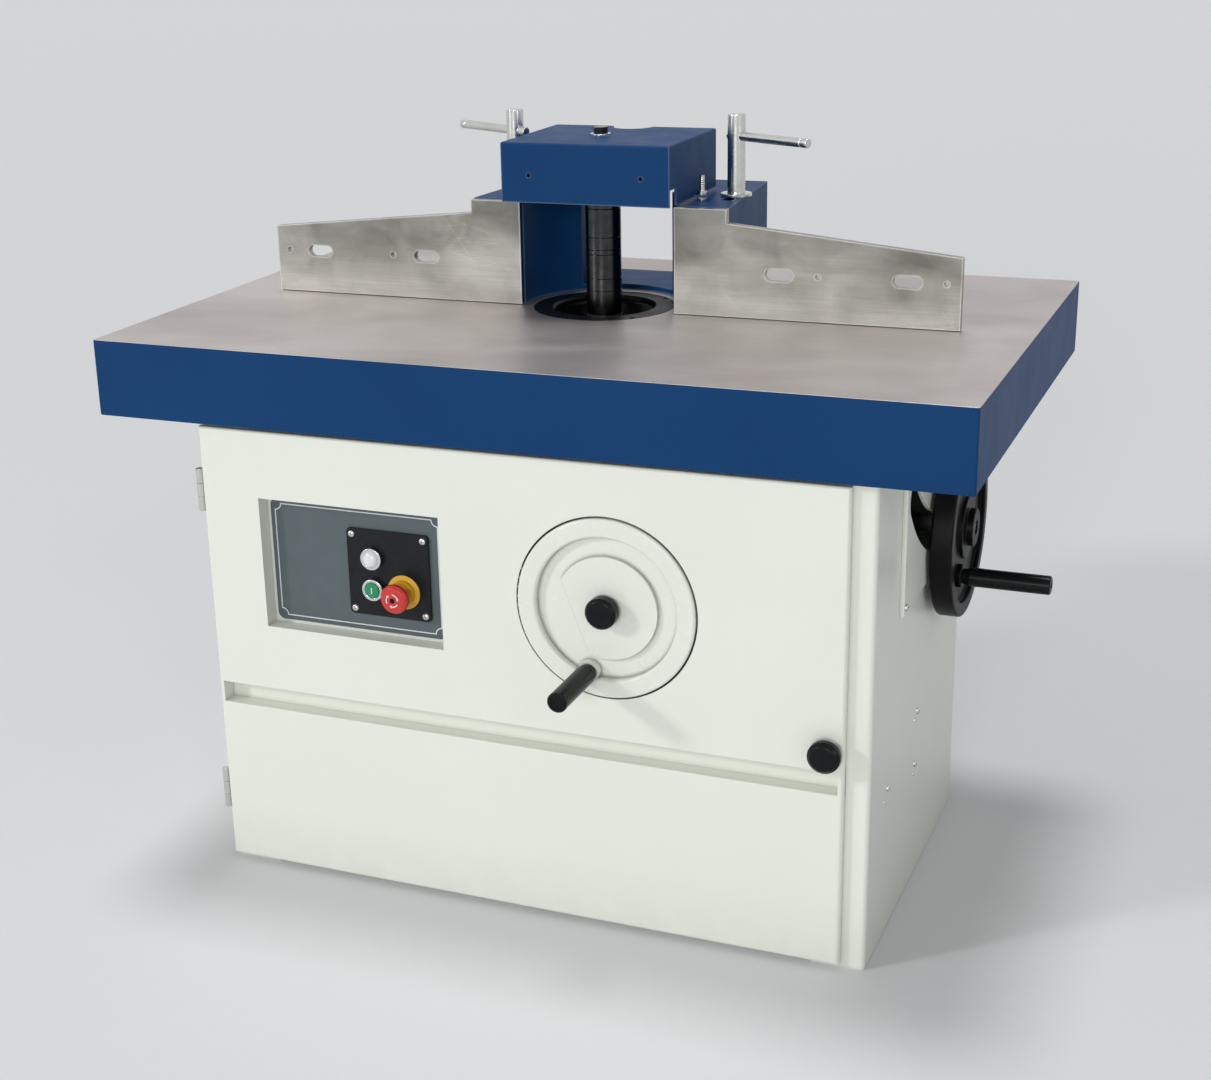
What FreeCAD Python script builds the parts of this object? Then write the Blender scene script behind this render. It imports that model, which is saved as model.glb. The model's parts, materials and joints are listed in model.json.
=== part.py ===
"""A spindle moulder: a floor machine with a tilting, rising spindle under a flat table.

Millimetres. +X is to the operator's right, +Y is away from the operator, +Z is up.
The origin is on the floor, at the centre of the four anchor holes.
"""
import FreeCAD
import Part
import math
import os

# Cabinet of bent sheet
cabinet_width = 932.0
cabinet_depth = 522.0
wall_height = 651.0
sheet = 2.5
post_width = 71.0
post_corner_radius = 6.0
rear_flange = 25.0
top_flange = 70.0
base_thickness = 6.0
anchor_inset_x = 46.0
anchor_inset_y = 46.0
anchor_hole_radius = 7.0
rail_height = 36.0
rail_depth = 25.0
rail_set_back = 26.0
bearer_width = 60.0
panel_margin = 6.0
vent_count = 9
vent_pitch = 16.0
vent_length = 120.0
vent_height = 6.0

# Table, a ribbed casting
table_width = 1200.0
table_depth = 750.0
table_top = 762.0
apron_depth = 106.0
apron_wall = 14.0
table_plate = 16.0
table_shift = -18.0
table_overhang = 18.0
rib_width = 16.0
ring_radius = 101.0
ring_hole_radius = 71.0
ring_thickness = 8.0
ring_ledge = 9.0
ring_screw_circle = 96.0

# Spindle, standing off the middle of the table
spindle_shift = -9.0
spindle_from_front = 400.0
arbor_radius = 15.0
arbor_top = 186.0
journal_radius = 20.0
collar_radius = 25.0
collar_height = 12.0
ring_stack_bottom = -10.0
spacer_heights = (34.0, 17.5, 34.0, 6.6, 17.5, 40.0, 22.0)
spacer_radius = 25.0
spindle_nut_height = 17.0

# Tilting carriage, guided on arcs about a line across the table top
tilt_max = 45.0
guide_radius = 183.0
guide_width = 16.0
shoe_half_angle = 15.0
trunnion_edge = 25.0
trunnion_plate = 12.0
cheek_plate = 14.0
cheek_inner = 108.0
cheek_top = 128.0
cheek_front = 62.0
column_front = 58.0
column_depth = 34.0
column_drop = 345.0
dovetail_half = 40.0
dovetail_flare = 8.0
dovetail_depth = 13.0

# Rising slide with spindle housing and motor
housing_radius = 50.0
housing_top = 110.0
housing_bottom = 285.0
bearing_radius = 40.0
bearing_height = 18.0
slide_half_width = 62.0
motor_offset = 217.0
motor_radius = 74.0
motor_top = 130.0
motor_seat = 270.0
motor_plate = 12.0
motor_fin_count = 28
pulley_gap = 6.0
pulley_height = 34.0
spindle_pulley_radius = 38.0
motor_pulley_radius = 46.0
belt_thickness = 6.0
belt_height = 22.0

# Lifting drive on the carriage, worked by the wheel at the right side
lift_axis_forward = 10.0
lift_axis_drop = 273.0
lift_screw_offset = 80.0
lift_screw_radius = 9.0
lift_shaft_radius = 10.0
lift_tube_radius = 13.0
bevel_large = 22.0
bevel_small = 12.0
bevel_teeth = 16
bevel_gap = 0.4
bevel_groove = 1.8
side_wheel_radius = 124.0
side_wheel_width = 30.0
side_wheel_gap = 10.5
side_wheel_rim = 19.0
side_wheel_hub = 26.0
side_hub_step = 18.0
side_dish_depth = 8.0
side_web = 10.0
side_grip_boss = 16.0
side_grip_circle = 69.0
side_grip_turn = 31.0
side_grip_length = 117.0
slot_half_width = 26.0
slot_plate = 6.0

# Tilting drive, worked by the wheel in the door
tilt_wheel_x = 122.0
tilt_wheel_z = 460.0
tilt_wheel_radius = 121.0
tilt_wheel_proud = 4.0
tilt_recess_radius = 96.0
tilt_boss_radius = 69.0
tilt_screw_radius = 9.0
tilt_pin_radius = 8.0
tilt_pin_distance = 270.0
tilt_grip_x = -24.0
tilt_grip_z = -88.0
tilt_grip_reach = 110.0
grip_radius = 13.5
side_grip_radius = 13.0
grip_bolt_radius = 5.0
lock_knob_radius = 21.0
lock_knob_length = 24.0
stanchion_width = 70.0
stanchion_depth = 26.0
stanchion_gap = 5.0
bush_wall = 3.0

# Front door with finger trough and control pocket
door_proud = 12.0
door_skin = 2.0
door_seal = 0.5
door_width = 901.0
door_foot = 7.5
door_edge_radius = 5.0
wheel_hole_gap = 2.5
trough_low = 249.0
trough_height = 30.0
trough_depth = 24.0
trough_end = 7.0
pocket_left = 87.0
pocket_width = 269.0
pocket_low = 373.0
pocket_height = 185.0
pocket_depth = 24.0
knob_radius = 21.2
knob_from_edge = 21.0
knob_z = 307.0
hinge_offset = 6.0
hinge_radius = 5.5
hinge_pin_radius = 2.5
hinge_half_height = 30.0
knuckle_half = 10.0
hinge_heights = (110.0, 560.0)

# Controls in the pocket
control_margin = 5.0
control_plate = 2.0
button_plate_size = 122.0
button_plate_left = 122.0
button_plate_low = 29.0
button_plate_thickness = 4.0
button_pitch = 44.0
button_radius = 11.0
button_travel = 4.0
bezel_radius = 15.0
estop_radius = 20.0
estop_travel = 6.0
estop_ring_radius = 24.0

# Fence standing on the table
fence_set_back = 30.0
fence_gap_half = 115.0
fence_length = 396.0
fence_thickness = 12.0
fence_outer_height = 97.0
fence_slope_height = 129.0
fence_inner_height = 147.5
fence_inner_length = 75.0
fence_slot_length = 40.0
fence_slot_height = 17.0
fence_slot_z = 62.0
fence_slot_places = (149.5, 324.5)
fence_hole_places = (203.5, 376.5)
fence_hole_radius = 4.0
fence_travel = 18.0
fence_gap = 0.5
fence_stud_heights = (42.0, 112.0)
fence_stud_place = 36.0
cheek_height = 148.5
cheek_length = 240.0
cheek_taper = 18.0
cheek_skin = 4.0
cheek_mouth = 70.0
cutter_clearance = 116.0
housing_base = 8.0
fence_back = 35.0
fence_forward = 15.0
clamp_offset_x = 168.0
clamp_offset_y = 84.0
clamp_rod_radius = 12.5
clamp_rod_height = 108.5
clamp_stud_radius = 8.0
clamp_washer_radius = 22.0
clamp_washer = 4.0
clamp_bar_radius = 6.5
clamp_bar_length = 150.0
left_bar_stub = 26.0
right_bar_stub = 15.0
clamp_bar_drop = 30.0
clamp_bar_turn = -27.0
hood_half_width = 123.0
hood_depth = 200.0
hood_front = 40.0
hood_top = 235.0
hood_skirt_side = 82.0
hood_skirt_front = 82.0
hood_skin = 3.0
hood_notch_length = 28.0
hood_notch_height = 23.0
hood_cutout_offset = -2.0
hood_cutout_radius = 30.0
hood_hole_offset = 82.0
hood_hole_height = 190.5
hood_stud_offset = 132.0
hood_stud_radius = 4.0
hood_stud_back = 41.0
hood_stud_height = 34.0
hood_stud_nut = 5.0

# Running clearances
running = 0.05
sliding = 0.3
press = 0.02

# Places that follow from the sizes above
wall_x = cabinet_width / 2
post_y = -cabinet_depth / 2
rear_y = cabinet_depth / 2
door_y = post_y - door_proud
door_left = -wall_x
door_right = door_left + door_width
table_front = post_y - table_overhang
table_under = table_top - apron_depth
plate_under = table_top - table_plate
spindle_x = table_shift + spindle_shift
spindle_y = table_front + spindle_from_front
trunnion_outer = guide_radius + guide_width / 2 + trunnion_edge
trunnion_inner_x = cheek_inner + cheek_plate + 2.0
trunnion_outer_x = trunnion_inner_x + trunnion_plate
lift_radius = math.hypot(lift_axis_forward, lift_axis_drop)
lift_angle = math.degrees(math.atan2(lift_axis_forward, lift_axis_drop))
pulley_top = housing_bottom + pulley_gap
pulley_bottom = pulley_top + pulley_height
fence_y = spindle_y - fence_set_back
side_wheel_inner = wall_x + side_wheel_gap
side_wheel_outer = side_wheel_inner + side_wheel_width
stanchion_y = door_y + trough_depth + door_skin + stanchion_gap
slot_face = wall_x + slot_plate
guide_front = tilt_max + shoe_half_angle + 3
guide_rear = -shoe_half_angle - 3
fence_back_y = fence_y + fence_thickness


def point(x, y, z):
    return FreeCAD.Vector(x, y, z)


AXES = {"x": point(1, 0, 0), "y": point(0, 1, 0), "z": point(0, 0, 1)}


def block(x0, x1, y0, y1, z0, z1):
    """A box between two corners, given in any order along each axis."""
    low = point(min(x0, x1), min(y0, y1), min(z0, z1))
    return Part.makeBox(abs(x1 - x0), abs(y1 - y0), abs(z1 - z0), low)


def rod(axis, a, b, radius, start, end):
    """A round bar along one axis; a and b are its place on the other two, in X, Y, Z order."""
    low = min(start, end)
    place = {"x": point(low, a, b), "y": point(a, low, b), "z": point(a, b, low)}[axis]
    return Part.makeCylinder(radius, abs(end - start), place, AXES[axis])


def tube(axis, a, b, outer, inner, start, end):
    return rod(axis, a, b, outer, start, end).cut(rod(axis, a, b, inner, start, end))


def turned(axis, a, b, outline):
    """A solid of revolution; the outline is a closed list of (radius, place along the axis)."""
    make = {
        "x": lambda r, t: point(t, a, b + r),
        "y": lambda r, t: point(a + r, t, b),
        "z": lambda r, t: point(a + r, b, t),
    }[axis]
    centre = {"x": point(0, a, b), "y": point(a, 0, b), "z": point(a, b, 0)}[axis]
    wire = Part.makePolygon([make(r, t) for r, t in outline + outline[:1]])
    return Part.Face(wire).revolve(centre, AXES[axis], 360)


def prism(points, direction):
    """A flat outline of straight lines, pushed along a direction."""
    return Part.Face(Part.makePolygon(points + points[:1])).extrude(direction)


def hexagon(x, y, z, corner_radius, height):
    turns = [math.radians(60 * k) for k in range(6)]
    corners = [point(x + corner_radius * math.cos(t), y + corner_radius * math.sin(t), z) for t in turns]
    return prism(corners, point(0, 0, height))


def join(shapes):
    first, rest = shapes[0], shapes[1:]
    return first.fuse(rest).removeSplitter() if rest else first


def group(shapes):
    return Part.makeCompound(shapes)


def without(shape, cutters):
    return shape.cut(cutters).removeSplitter() if cutters else shape


def rounded(shape, radius, chosen):
    return shape.makeFillet(radius, [edge for edge in shape.Edges if chosen(edge.CenterOfMass, edge)])


def along(edge, axis):
    """True for a straight edge that runs along one axis."""
    if not isinstance(edge.Curve, Part.Line):
        return False
    return abs(edge.Curve.Direction.dot(AXES[axis])) > 0.999


def mirrored(shape, x):
    return shape.mirror(point(x, 0, 0), AXES["x"])


def arc_place(radius, angle, x=0.0):
    """A point on an arc about the tilt line; the angle runs forwards from straight down."""
    turn = math.radians(angle)
    return point(x, spindle_y - radius * math.sin(turn), table_top - radius * math.cos(turn))


def arc_band(radius, half_width, start, end, x0, x1, round_ends=False):
    """A curved bar about the tilt line, from one angle to another, between two X planes."""
    middle = (start + end) / 2
    outer, inner = radius + half_width, radius - half_width
    edges = [
        Part.Arc(arc_place(outer, start, x0), arc_place(outer, middle, x0), arc_place(outer, end, x0)),
        Part.LineSegment(arc_place(outer, end, x0), arc_place(inner, end, x0)),
        Part.Arc(arc_place(inner, end, x0), arc_place(inner, middle, x0), arc_place(inner, start, x0)),
        Part.LineSegment(arc_place(inner, start, x0), arc_place(outer, start, x0)),
    ]
    band = Part.Face(Part.Wire([edge.toShape() for edge in edges])).extrude(point(x1 - x0, 0, 0))
    if not round_ends:
        return band
    ends = [arc_place(radius, angle) for angle in (start, end)]
    return join([band] + [rod("x", end.y, end.z, half_width, x0, x1) for end in ends])


# Cabinet


def side_wall(side):
    """Bent wall with a front post, a rear flange and a top flange; side is -1 or 1."""
    inner = side * (wall_x - sheet)
    outer = side * wall_x
    wall = block(inner, outer, post_y, rear_y, 0, wall_height)
    wall = join([
        wall,
        block(side * (wall_x - post_width), outer, post_y, post_y + sheet, 0, wall_height),
        block(side * (wall_x - rear_flange), outer, rear_y - sheet, rear_y, 0, wall_height),
        block(side * (wall_x - top_flange), outer, post_y, rear_y, wall_height - sheet, wall_height),
    ])
    wall = rounded(wall, post_corner_radius, lambda c, e: along(e, "z")
                   and abs(c.x - outer) < 0.01 and abs(c.y - post_y) < 0.01)
    gap = trough_height / 2 + 2 * door_skin + 2.0
    middle = trough_low + trough_height / 2
    notch_start = side * (wall_x - post_width)
    notch_end = side * (wall_x - sheet) if side < 0 else door_right
    notch = block(notch_start, notch_end, post_y, post_y + sheet, middle - gap, middle + gap)
    return without(wall, [notch])


def left_side_wall():
    return side_wall(-1)


def right_side_wall():
    margin = 8.0
    slot = arc_band(lift_radius, slot_half_width + margin, lift_angle - 3, lift_angle + tilt_max + 3,
                    wall_x - sheet, wall_x, True)
    catch = rod("y", door_right - knob_from_edge, knob_z, 6.5, post_y, post_y + sheet)
    return without(side_wall(1), [slot, catch])


def base_pan():
    pan = block(-wall_x + sheet, wall_x - sheet, post_y + sheet, rear_y - sheet, 0, base_thickness)
    holes = [rod("z", x, y, anchor_hole_radius, 0, base_thickness)
             for x in (-wall_x + anchor_inset_x, wall_x - anchor_inset_x)
             for y in (post_y + anchor_inset_y, rear_y - anchor_inset_y)]
    return without(pan, holes)


def rear_panel():
    low, high = base_thickness, wall_height - panel_margin
    panel = block(-wall_x + panel_margin, wall_x - panel_margin, rear_y, rear_y + sheet, low, high)
    vents = []
    for column in (-1, 1):
        centre = column * cabinet_width / 4
        for row in range(vent_count):
            z = wall_height / 4 + row * vent_pitch
            vents.append(block(centre - vent_length / 2, centre + vent_length / 2,
                               rear_y, rear_y + sheet, z, z + vent_height))
    return without(panel, vents)


def front_rail():
    """Cross channel that ties the two walls together above the carriage."""
    y0 = post_y + rail_set_back
    top = wall_height - sheet
    outer = block(-wall_x + sheet, wall_x - sheet, y0, y0 + rail_depth, top - rail_height, top)
    inner = block(-wall_x + sheet, wall_x - sheet, y0 + sheet, y0 + rail_depth,
                  top - rail_height + sheet, top - sheet)
    return outer.cut(inner)


def table_bearers():
    bars = []
    for side in (-1, 1):
        x = side * (wall_x - bearer_width / 2 - 8.0)
        bars.append(block(x - bearer_width / 2, x + bearer_width / 2, post_y + 25, rear_y - 5,
                          wall_height, table_under))
    return group(bars)


def rib_x(side):
    return side * (wall_x - bearer_width / 2 - 8.0)


def table():
    left = table_shift - table_width / 2
    right = left + table_width
    rear = table_front + table_depth
    body = block(left, right, table_front, rear, table_under, table_top)
    body = rounded(body, 3.0, lambda c, e: along(e, "z") or abs(c.z - table_under) < 0.01)
    hollow = block(left + apron_wall, right - apron_wall, table_front + apron_wall, rear - apron_wall,
                   table_under, plate_under)
    body = body.cut(hollow)
    ribs = [block(rib_x(side) - rib_width / 2, rib_x(side) + rib_width / 2,
                  table_front + apron_wall, rear - apron_wall, table_under, plate_under)
            for side in (-1, 1)]
    body = join([body] + ribs)
    cutters = [
        rod("z", spindle_x, spindle_y, ring_radius, table_top - ring_thickness, table_top),
        rod("z", spindle_x, spindle_y, ring_radius - ring_ledge, plate_under, table_top),
    ]
    for side in (-1, 1):
        cutters.append(rod("z", spindle_x + side * clamp_offset_x, spindle_y + clamp_offset_y,
                           clamp_stud_radius + running, plate_under, table_top))
    return without(body, cutters)


def frame_bolts():
    """Hex bolts: four up through the bearers, four through each trunnion flange."""
    bolts = []
    for side in (-1, 1):
        x = rib_x(side)
        for y in (post_y + 70, rear_y - 60):
            bolts.append(Part.makeCylinder(10, 7, point(x, y, wall_height - sheet - 7)))
        x = spindle_x + side * (trunnion_inner_x - 14)
        for y in (trunnion_front_y() + 20, spindle_y - 60, spindle_y + 10, trunnion_rear_y() - 16):
            bolts.append(Part.makeCylinder(8, 6, point(x, y, plate_under - trunnion_plate - 6)))
    return group(bolts)


def ring_insert():
    low, high = table_top - ring_thickness, table_top
    outer = ring_radius - 0.4
    bevel = 3.0
    ring = turned("z", spindle_x, spindle_y, [
        (ring_hole_radius, low), (outer, low), (outer, high), (ring_hole_radius + bevel, high),
        (ring_hole_radius, high - bevel)])
    holes = [rod("z", x, y, 3.6, low, high) for x, y in ring_screw_places()]
    return without(ring, holes)


def ring_screw_places():
    turns = [math.radians(45 + 90 * step) for step in range(4)]
    return [(spindle_x + ring_screw_circle * math.cos(t), spindle_y + ring_screw_circle * math.sin(t))
            for t in turns]


def ring_screws():
    return group([rod("z", x, y, 3.5, table_top - ring_thickness, table_top - 0.4)
                  for x, y in ring_screw_places()])


def trunnion_front_y():
    return arc_place(trunnion_outer, guide_front + 3).y


def trunnion_rear_y():
    return arc_place(trunnion_outer, guide_rear - 6).y + 10


def trunnion(side):
    """Plate hung from the table, with a curved slot that guides the carriage."""
    x0 = spindle_x + side * trunnion_inner_x
    x1 = spindle_x + side * trunnion_outer_x
    front, back = guide_front + 3, guide_rear - 6
    start, middle, end = (arc_place(trunnion_outer, a, x0) for a in (back, (front + back) / 2, front))
    top_rear = point(x0, trunnion_rear_y(), plate_under)
    top_front = point(x0, end.y, plate_under)
    edges = [Part.Arc(start, middle, end), Part.LineSegment(end, top_front),
             Part.LineSegment(top_front, top_rear), Part.LineSegment(top_rear, start)]
    plate = Part.Face(Part.Wire([edge.toShape() for edge in edges])).extrude(point(x1 - x0, 0, 0))
    slot = arc_band(guide_radius, guide_width / 2, guide_rear, guide_front, x0, x1)
    flange = block(x0, spindle_x + side * (trunnion_inner_x - 28), end.y, trunnion_rear_y(),
                   plate_under - trunnion_plate, plate_under)
    opening_radius = ring_radius - ring_ledge + 4
    opening = rod("z", spindle_x, spindle_y, opening_radius, plate_under - trunnion_plate, plate_under)
    return join([plate.cut(slot), flange.cut(opening)])


def left_trunnion():
    return trunnion(-1)


def right_trunnion():
    return trunnion(1)


def side_slot_plate():
    """Cover on the right wall; the lifting shaft swings along its curved slot."""
    front, rear = spindle_y - 250, spindle_y + 75
    low, high = table_top - 322, wall_height - 5
    plate = block(wall_x, slot_face, front, rear, low, high)
    plate = rounded(plate, 2.0, lambda c, e: abs(c.x - slot_face) < 0.01)
    slot = arc_band(lift_radius, slot_half_width, lift_angle - 3, lift_angle + tilt_max + 3,
                    wall_x, slot_face, True)
    return without(plate, [slot])


def panel_screws():
    """Round heads on the rear panel, the slot plate and the right wall."""
    head, height = 5.0, 3.0
    screws = []
    for x in (-wall_x + 18, 0, wall_x - 18):
        for z in (base_thickness + 20, wall_height - panel_margin - 20):
            screws.append(rod("y", x, z, head, rear_y + sheet, rear_y + sheet + height))
    for y in (spindle_y - 240, spindle_y + 65):
        for z in (table_top - 312, wall_height - 15):
            screws.append(rod("x", y, z, head, slot_face, slot_face + height))
    for y, z in ((post_y + 100, 215), (post_y + 265, 255), (post_y + 260, 178)):
        screws.append(rod("x", y, z, head, wall_x, wall_x + height))
    return group(screws)


def tilt_stanchion():
    """Box column behind the door that carries the front bearing of the tilting screw."""
    y0, y1 = stanchion_y, stanchion_y + stanchion_depth
    x0, x1 = tilt_wheel_x - stanchion_width / 2, tilt_wheel_x + stanchion_width / 2
    top = tilt_wheel_z + 42
    column = block(x0, x1, y0, y1, base_thickness, top)
    inside = block(x0 + sheet, x1 - sheet, y0 + sheet, y1, base_thickness, top - sheet)
    boss = rod("y", tilt_wheel_x, tilt_wheel_z, 24, y0, y1)
    bore = rod("y", tilt_wheel_x, tilt_wheel_z, tilt_screw_radius + bush_wall, y0, y1)
    return without(join([column.cut(inside), boss]), [bore])


def tilt_bearings():
    """Bronze bush in the column, and a flanged bearing on the rear panel."""
    bore = tilt_screw_radius + running
    outer = tilt_screw_radius + bush_wall - press
    bush = tube("y", tilt_wheel_x, tilt_wheel_z, outer, bore, stanchion_y, stanchion_y + stanchion_depth)
    rear = tube("y", tilt_wheel_x, tilt_wheel_z, 24, bore, rear_y - 12, rear_y)
    return group([bush, rear])


# Tilting drive


def tilt_pin_place():
    """The carriage pin starts as far behind straight down as it ends in front of it."""
    return arc_place(tilt_pin_distance, -tilt_max / 2)


def tilt_wheel():
    front = door_y - tilt_wheel_proud
    back = front + 22
    floor = front + 11
    web_back = floor + 9
    bore = tilt_screw_radius + running
    wheel = turned("y", tilt_wheel_x, tilt_wheel_z, [
        (bore, floor), (tilt_recess_radius, floor), (tilt_recess_radius, front),
        (tilt_wheel_radius, front), (tilt_wheel_radius, back), (tilt_recess_radius + 14, back),
        (tilt_recess_radius + 14, web_back), (26, web_back), (26, stanchion_y - 1), (bore, stanchion_y - 1)])
    wheel = rounded(wheel, 4.0, lambda c, e: abs(c.y - front) < 0.01 and e.BoundBox.XLength > 100)
    boss = rod("y", tilt_wheel_x, tilt_wheel_z, tilt_boss_radius, floor - 6, floor)
    chord = block(-200, 0, floor - 7, floor, -200, 200)
    chord.rotate(point(0, 0, 0), AXES["y"], -21)
    chord.translate(point(tilt_wheel_x - 48, 0, tilt_wheel_z))
    seat = rod("y", tilt_wheel_x, tilt_wheel_z, 6 + running, front - 10, floor + 4)
    grip_x, grip_z = tilt_wheel_x + tilt_grip_x, tilt_wheel_z + tilt_grip_z
    grip_seat = rod("y", grip_x, grip_z, grip_radius + 1, front, web_back)
    grip_hole = rod("y", grip_x, grip_z, grip_bolt_radius + running, front, back)
    return without(join([wheel, boss.cut(chord), grip_seat]), [seat, grip_hole])


def tilt_screw():
    thick = rod("y", tilt_wheel_x, tilt_wheel_z, tilt_screw_radius, door_y + 10, rear_y - 1)
    grooves = []
    step = 8.0
    count = int((rear_y - 40 - (spindle_y - 140)) / step)
    for turn in range(count):
        y = spindle_y - 140 + turn * step
        grooves.append(tube("y", tilt_wheel_x, tilt_wheel_z, tilt_screw_radius + 1, tilt_screw_radius - 1.2,
                            y, y + step / 2))
    return without(thick, grooves)


def grip_bolt(axis, a, b, root, tip, direction):
    """Shoulder bolt that a handle turns on, with its head sunk in the handle's tip."""
    head = tip - direction * 4
    shank = rod(axis, a, b, grip_bolt_radius, root, head)
    cap = rod(axis, a, b, grip_bolt_radius + 3, head - direction * 6, head)
    slot = rod(axis, a, b, 2.5, head - direction * 3, head)
    return join([shank, cap]).cut(slot)


def grip(axis, a, b, radius, root, tip, direction):
    """Handle sleeve, waisted a little at its root, with a sunk end for the bolt's head."""
    bore = grip_bolt_radius + running
    sink = grip_bolt_radius + 3 + running
    head = tip - direction * (10 + sliding)
    return turned(axis, a, b, [
        (bore, root), (radius - 2.5, root), (radius - 2.5, root + direction * 4),
        (radius, root + direction * 10), (radius, tip - direction * 2), (radius - 2, tip), (sink, tip),
        (sink, head), (bore, head)])


def tilt_grip_span():
    return door_y - tilt_wheel_proud - sliding, door_y - tilt_grip_reach


def tilt_grip_bolt():
    root, tip = tilt_grip_span()
    return grip_bolt("y", tilt_wheel_x + tilt_grip_x, tilt_wheel_z + tilt_grip_z, root + 19, tip, -1)


def tilt_grip():
    root, tip = tilt_grip_span()
    return grip("y", tilt_wheel_x + tilt_grip_x, tilt_wheel_z + tilt_grip_z, grip_radius, root, tip, -1)


def tilt_lock_knob():
    face = door_y - tilt_wheel_proud + 5 - sliding
    front = face - lock_knob_length
    knob = turned("y", tilt_wheel_x, tilt_wheel_z, [
        (0, face + 8), (6, face + 8), (6, face), (lock_knob_radius - 6, face),
        (lock_knob_radius - 6, face - 5), (lock_knob_radius, face - 7), (lock_knob_radius, front + 4),
        (lock_knob_radius - 4, front), (0, front)])
    return knob


def tilt_nut():
    """Nut on the tilting screw, with a fork that carries the carriage's pin."""
    pin = tilt_pin_place()
    half = 17.0
    slot_half = tilt_pin_radius + 1.8
    wall = 10.0
    fork_top = table_top - tilt_pin_distance * math.cos(math.radians(tilt_max / 2)) + tilt_pin_radius + 4
    slot_low = table_top - tilt_pin_distance - tilt_pin_radius - 3
    front, back = pin.y - slot_half - wall, pin.y + slot_half + wall
    x, z = tilt_wheel_x, tilt_wheel_z
    body = block(x - half, x + half, front, back, z - half, z + half)
    fork = block(x - 13, x + 13, front, back, z, fork_top)
    slot = block(x - 13, x + 13, pin.y - slot_half, pin.y + slot_half, slot_low, fork_top)
    bore = rod("y", x, z, tilt_screw_radius + running, front, back)
    return without(join([body, fork]), [slot, bore])


# Tilting carriage and lifting drive


def at_drop(y, drop, x=0.0):
    """A point given by its distance behind the spindle and below the table top."""
    return point(spindle_x + x, spindle_y + y, table_top - drop)


def local_block(x0, x1, y0, y1, drop0, drop1):
    return block(spindle_x + x0, spindle_x + x1, spindle_y + y0, spindle_y + y1,
                 table_top - drop0, table_top - drop1)


def local_rod(axis, a, b, radius, start, end):
    """A round bar placed from the spindle line and the table top; heights are drops."""
    if axis == "x":
        return rod("x", spindle_y + a, table_top - b, radius, spindle_x + start, spindle_x + end)
    return rod("z", spindle_x + a, spindle_y + b, radius, table_top - start, table_top - end)


def dovetail(half, flare, depth, front, top, bottom):
    outline = [(-half, front), (half, front), (half + flare, front + depth), (-half - flare, front + depth)]
    return prism([at_drop(y, bottom, x) for x, y in outline], point(0, 0, bottom - top))


def tilt_carriage():
    rear = column_front + column_depth
    outer = cheek_inner + cheek_plate
    pin = tilt_pin_place()
    pin_y, pin_drop = pin.y - spindle_y, table_top - pin.z
    column = local_block(-outer, outer, column_front, rear, cheek_top, column_drop)
    groove = dovetail(dovetail_half + sliding, dovetail_flare, dovetail_depth + sliding, column_front,
                      cheek_top, column_drop)
    left = local_block(-outer, -cheek_inner, -cheek_front, rear, cheek_top, guide_radius + 30)
    right_outline = [(-cheek_front, cheek_top), (rear, cheek_top), (rear, guide_radius + 20),
                     (pin_y + 15, pin_drop - 16), (pin_y + 15, pin_drop + 16), (rear, column_drop),
                     (-lift_axis_forward - 22, column_drop), (-cheek_front, lift_axis_drop)]
    right = prism([at_drop(y, drop, cheek_inner) for y, drop in right_outline], point(cheek_plate, 0, 0))
    shoe = guide_width / 2 - sliding
    shoes = []
    for side in (-1, 1):
        x0 = spindle_x + side * outer
        x1 = spindle_x + side * (trunnion_inner_x + trunnion_plate - 1)
        shoes.append(arc_band(guide_radius, shoe, -shoe_half_angle, shoe_half_angle, x0, x1))
    y = -lift_axis_forward
    upper = local_block(lift_screw_offset - 14, cheek_inner, y - 14, y + 14, cheek_top + 4, cheek_top + 20)
    gear_low = lift_axis_drop + bevel_large
    lower = local_block(lift_screw_offset - 14, cheek_inner, y - 14, y + 14, gear_low + 10, gear_low + 26)
    pin_bar = rod("x", pin.y, pin.z, tilt_pin_radius, spindle_x + outer, tilt_wheel_x + 14)
    tube_end = slot_face - spindle_x + 1
    bearing_tube = local_rod("x", y, lift_axis_drop, lift_tube_radius, outer, tube_end)
    flange = local_rod("x", y, lift_axis_drop, lift_tube_radius + 9, outer, outer + 8)
    fittings = [upper, lower, pin_bar, bearing_tube, flange]
    carriage = join([column.cut(groove), left, right] + shoes + fittings)
    screw_bore = local_rod("z", lift_screw_offset, y, lift_screw_radius + running, cheek_top, column_drop)
    shaft_bore = local_rod("x", y, lift_axis_drop, lift_shaft_radius + running, cheek_inner, tube_end)
    return without(carriage, [screw_bore, shaft_bore])


def bevel(axis, apex, sign):
    """Bevel gear whose cone opens away from its apex, with tooth grooves cut into the cone."""
    near, far = apex + sign * bevel_small, apex + sign * bevel_large
    y, z = side_wheel_place()
    a, b = (y, z) if axis == "x" else (spindle_x + lift_screw_offset, y)
    cone = turned(axis, a, b, [
        (0, near), (bevel_small - bevel_gap, near), (bevel_large - bevel_gap, far),
        (bevel_large - 4, far + sign * 5), (0, far + sign * 5)])
    foot_radius = bevel_small - bevel_groove
    grooves = []
    for tooth in range(bevel_teeth):
        if axis == "x":
            foot = point(near, a, b + foot_radius)
            groove = block(near - 22, near + 22, a - 0.9, a + 0.9, foot.z, foot.z + 12)
            groove.rotate(foot, AXES["y"], -sign * 45)
        else:
            foot = point(a + foot_radius, b, near)
            groove = block(foot.x, foot.x + 12, b - 0.9, b + 0.9, near - 22, near + 22)
            groove.rotate(foot, AXES["y"], sign * 45)
        groove.rotate(point(near, a, b) if axis == "x" else point(a, b, near), AXES[axis],
                      tooth * 360 / bevel_teeth)
        grooves.append(groove)
    return cone.cut(grooves)


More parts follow.
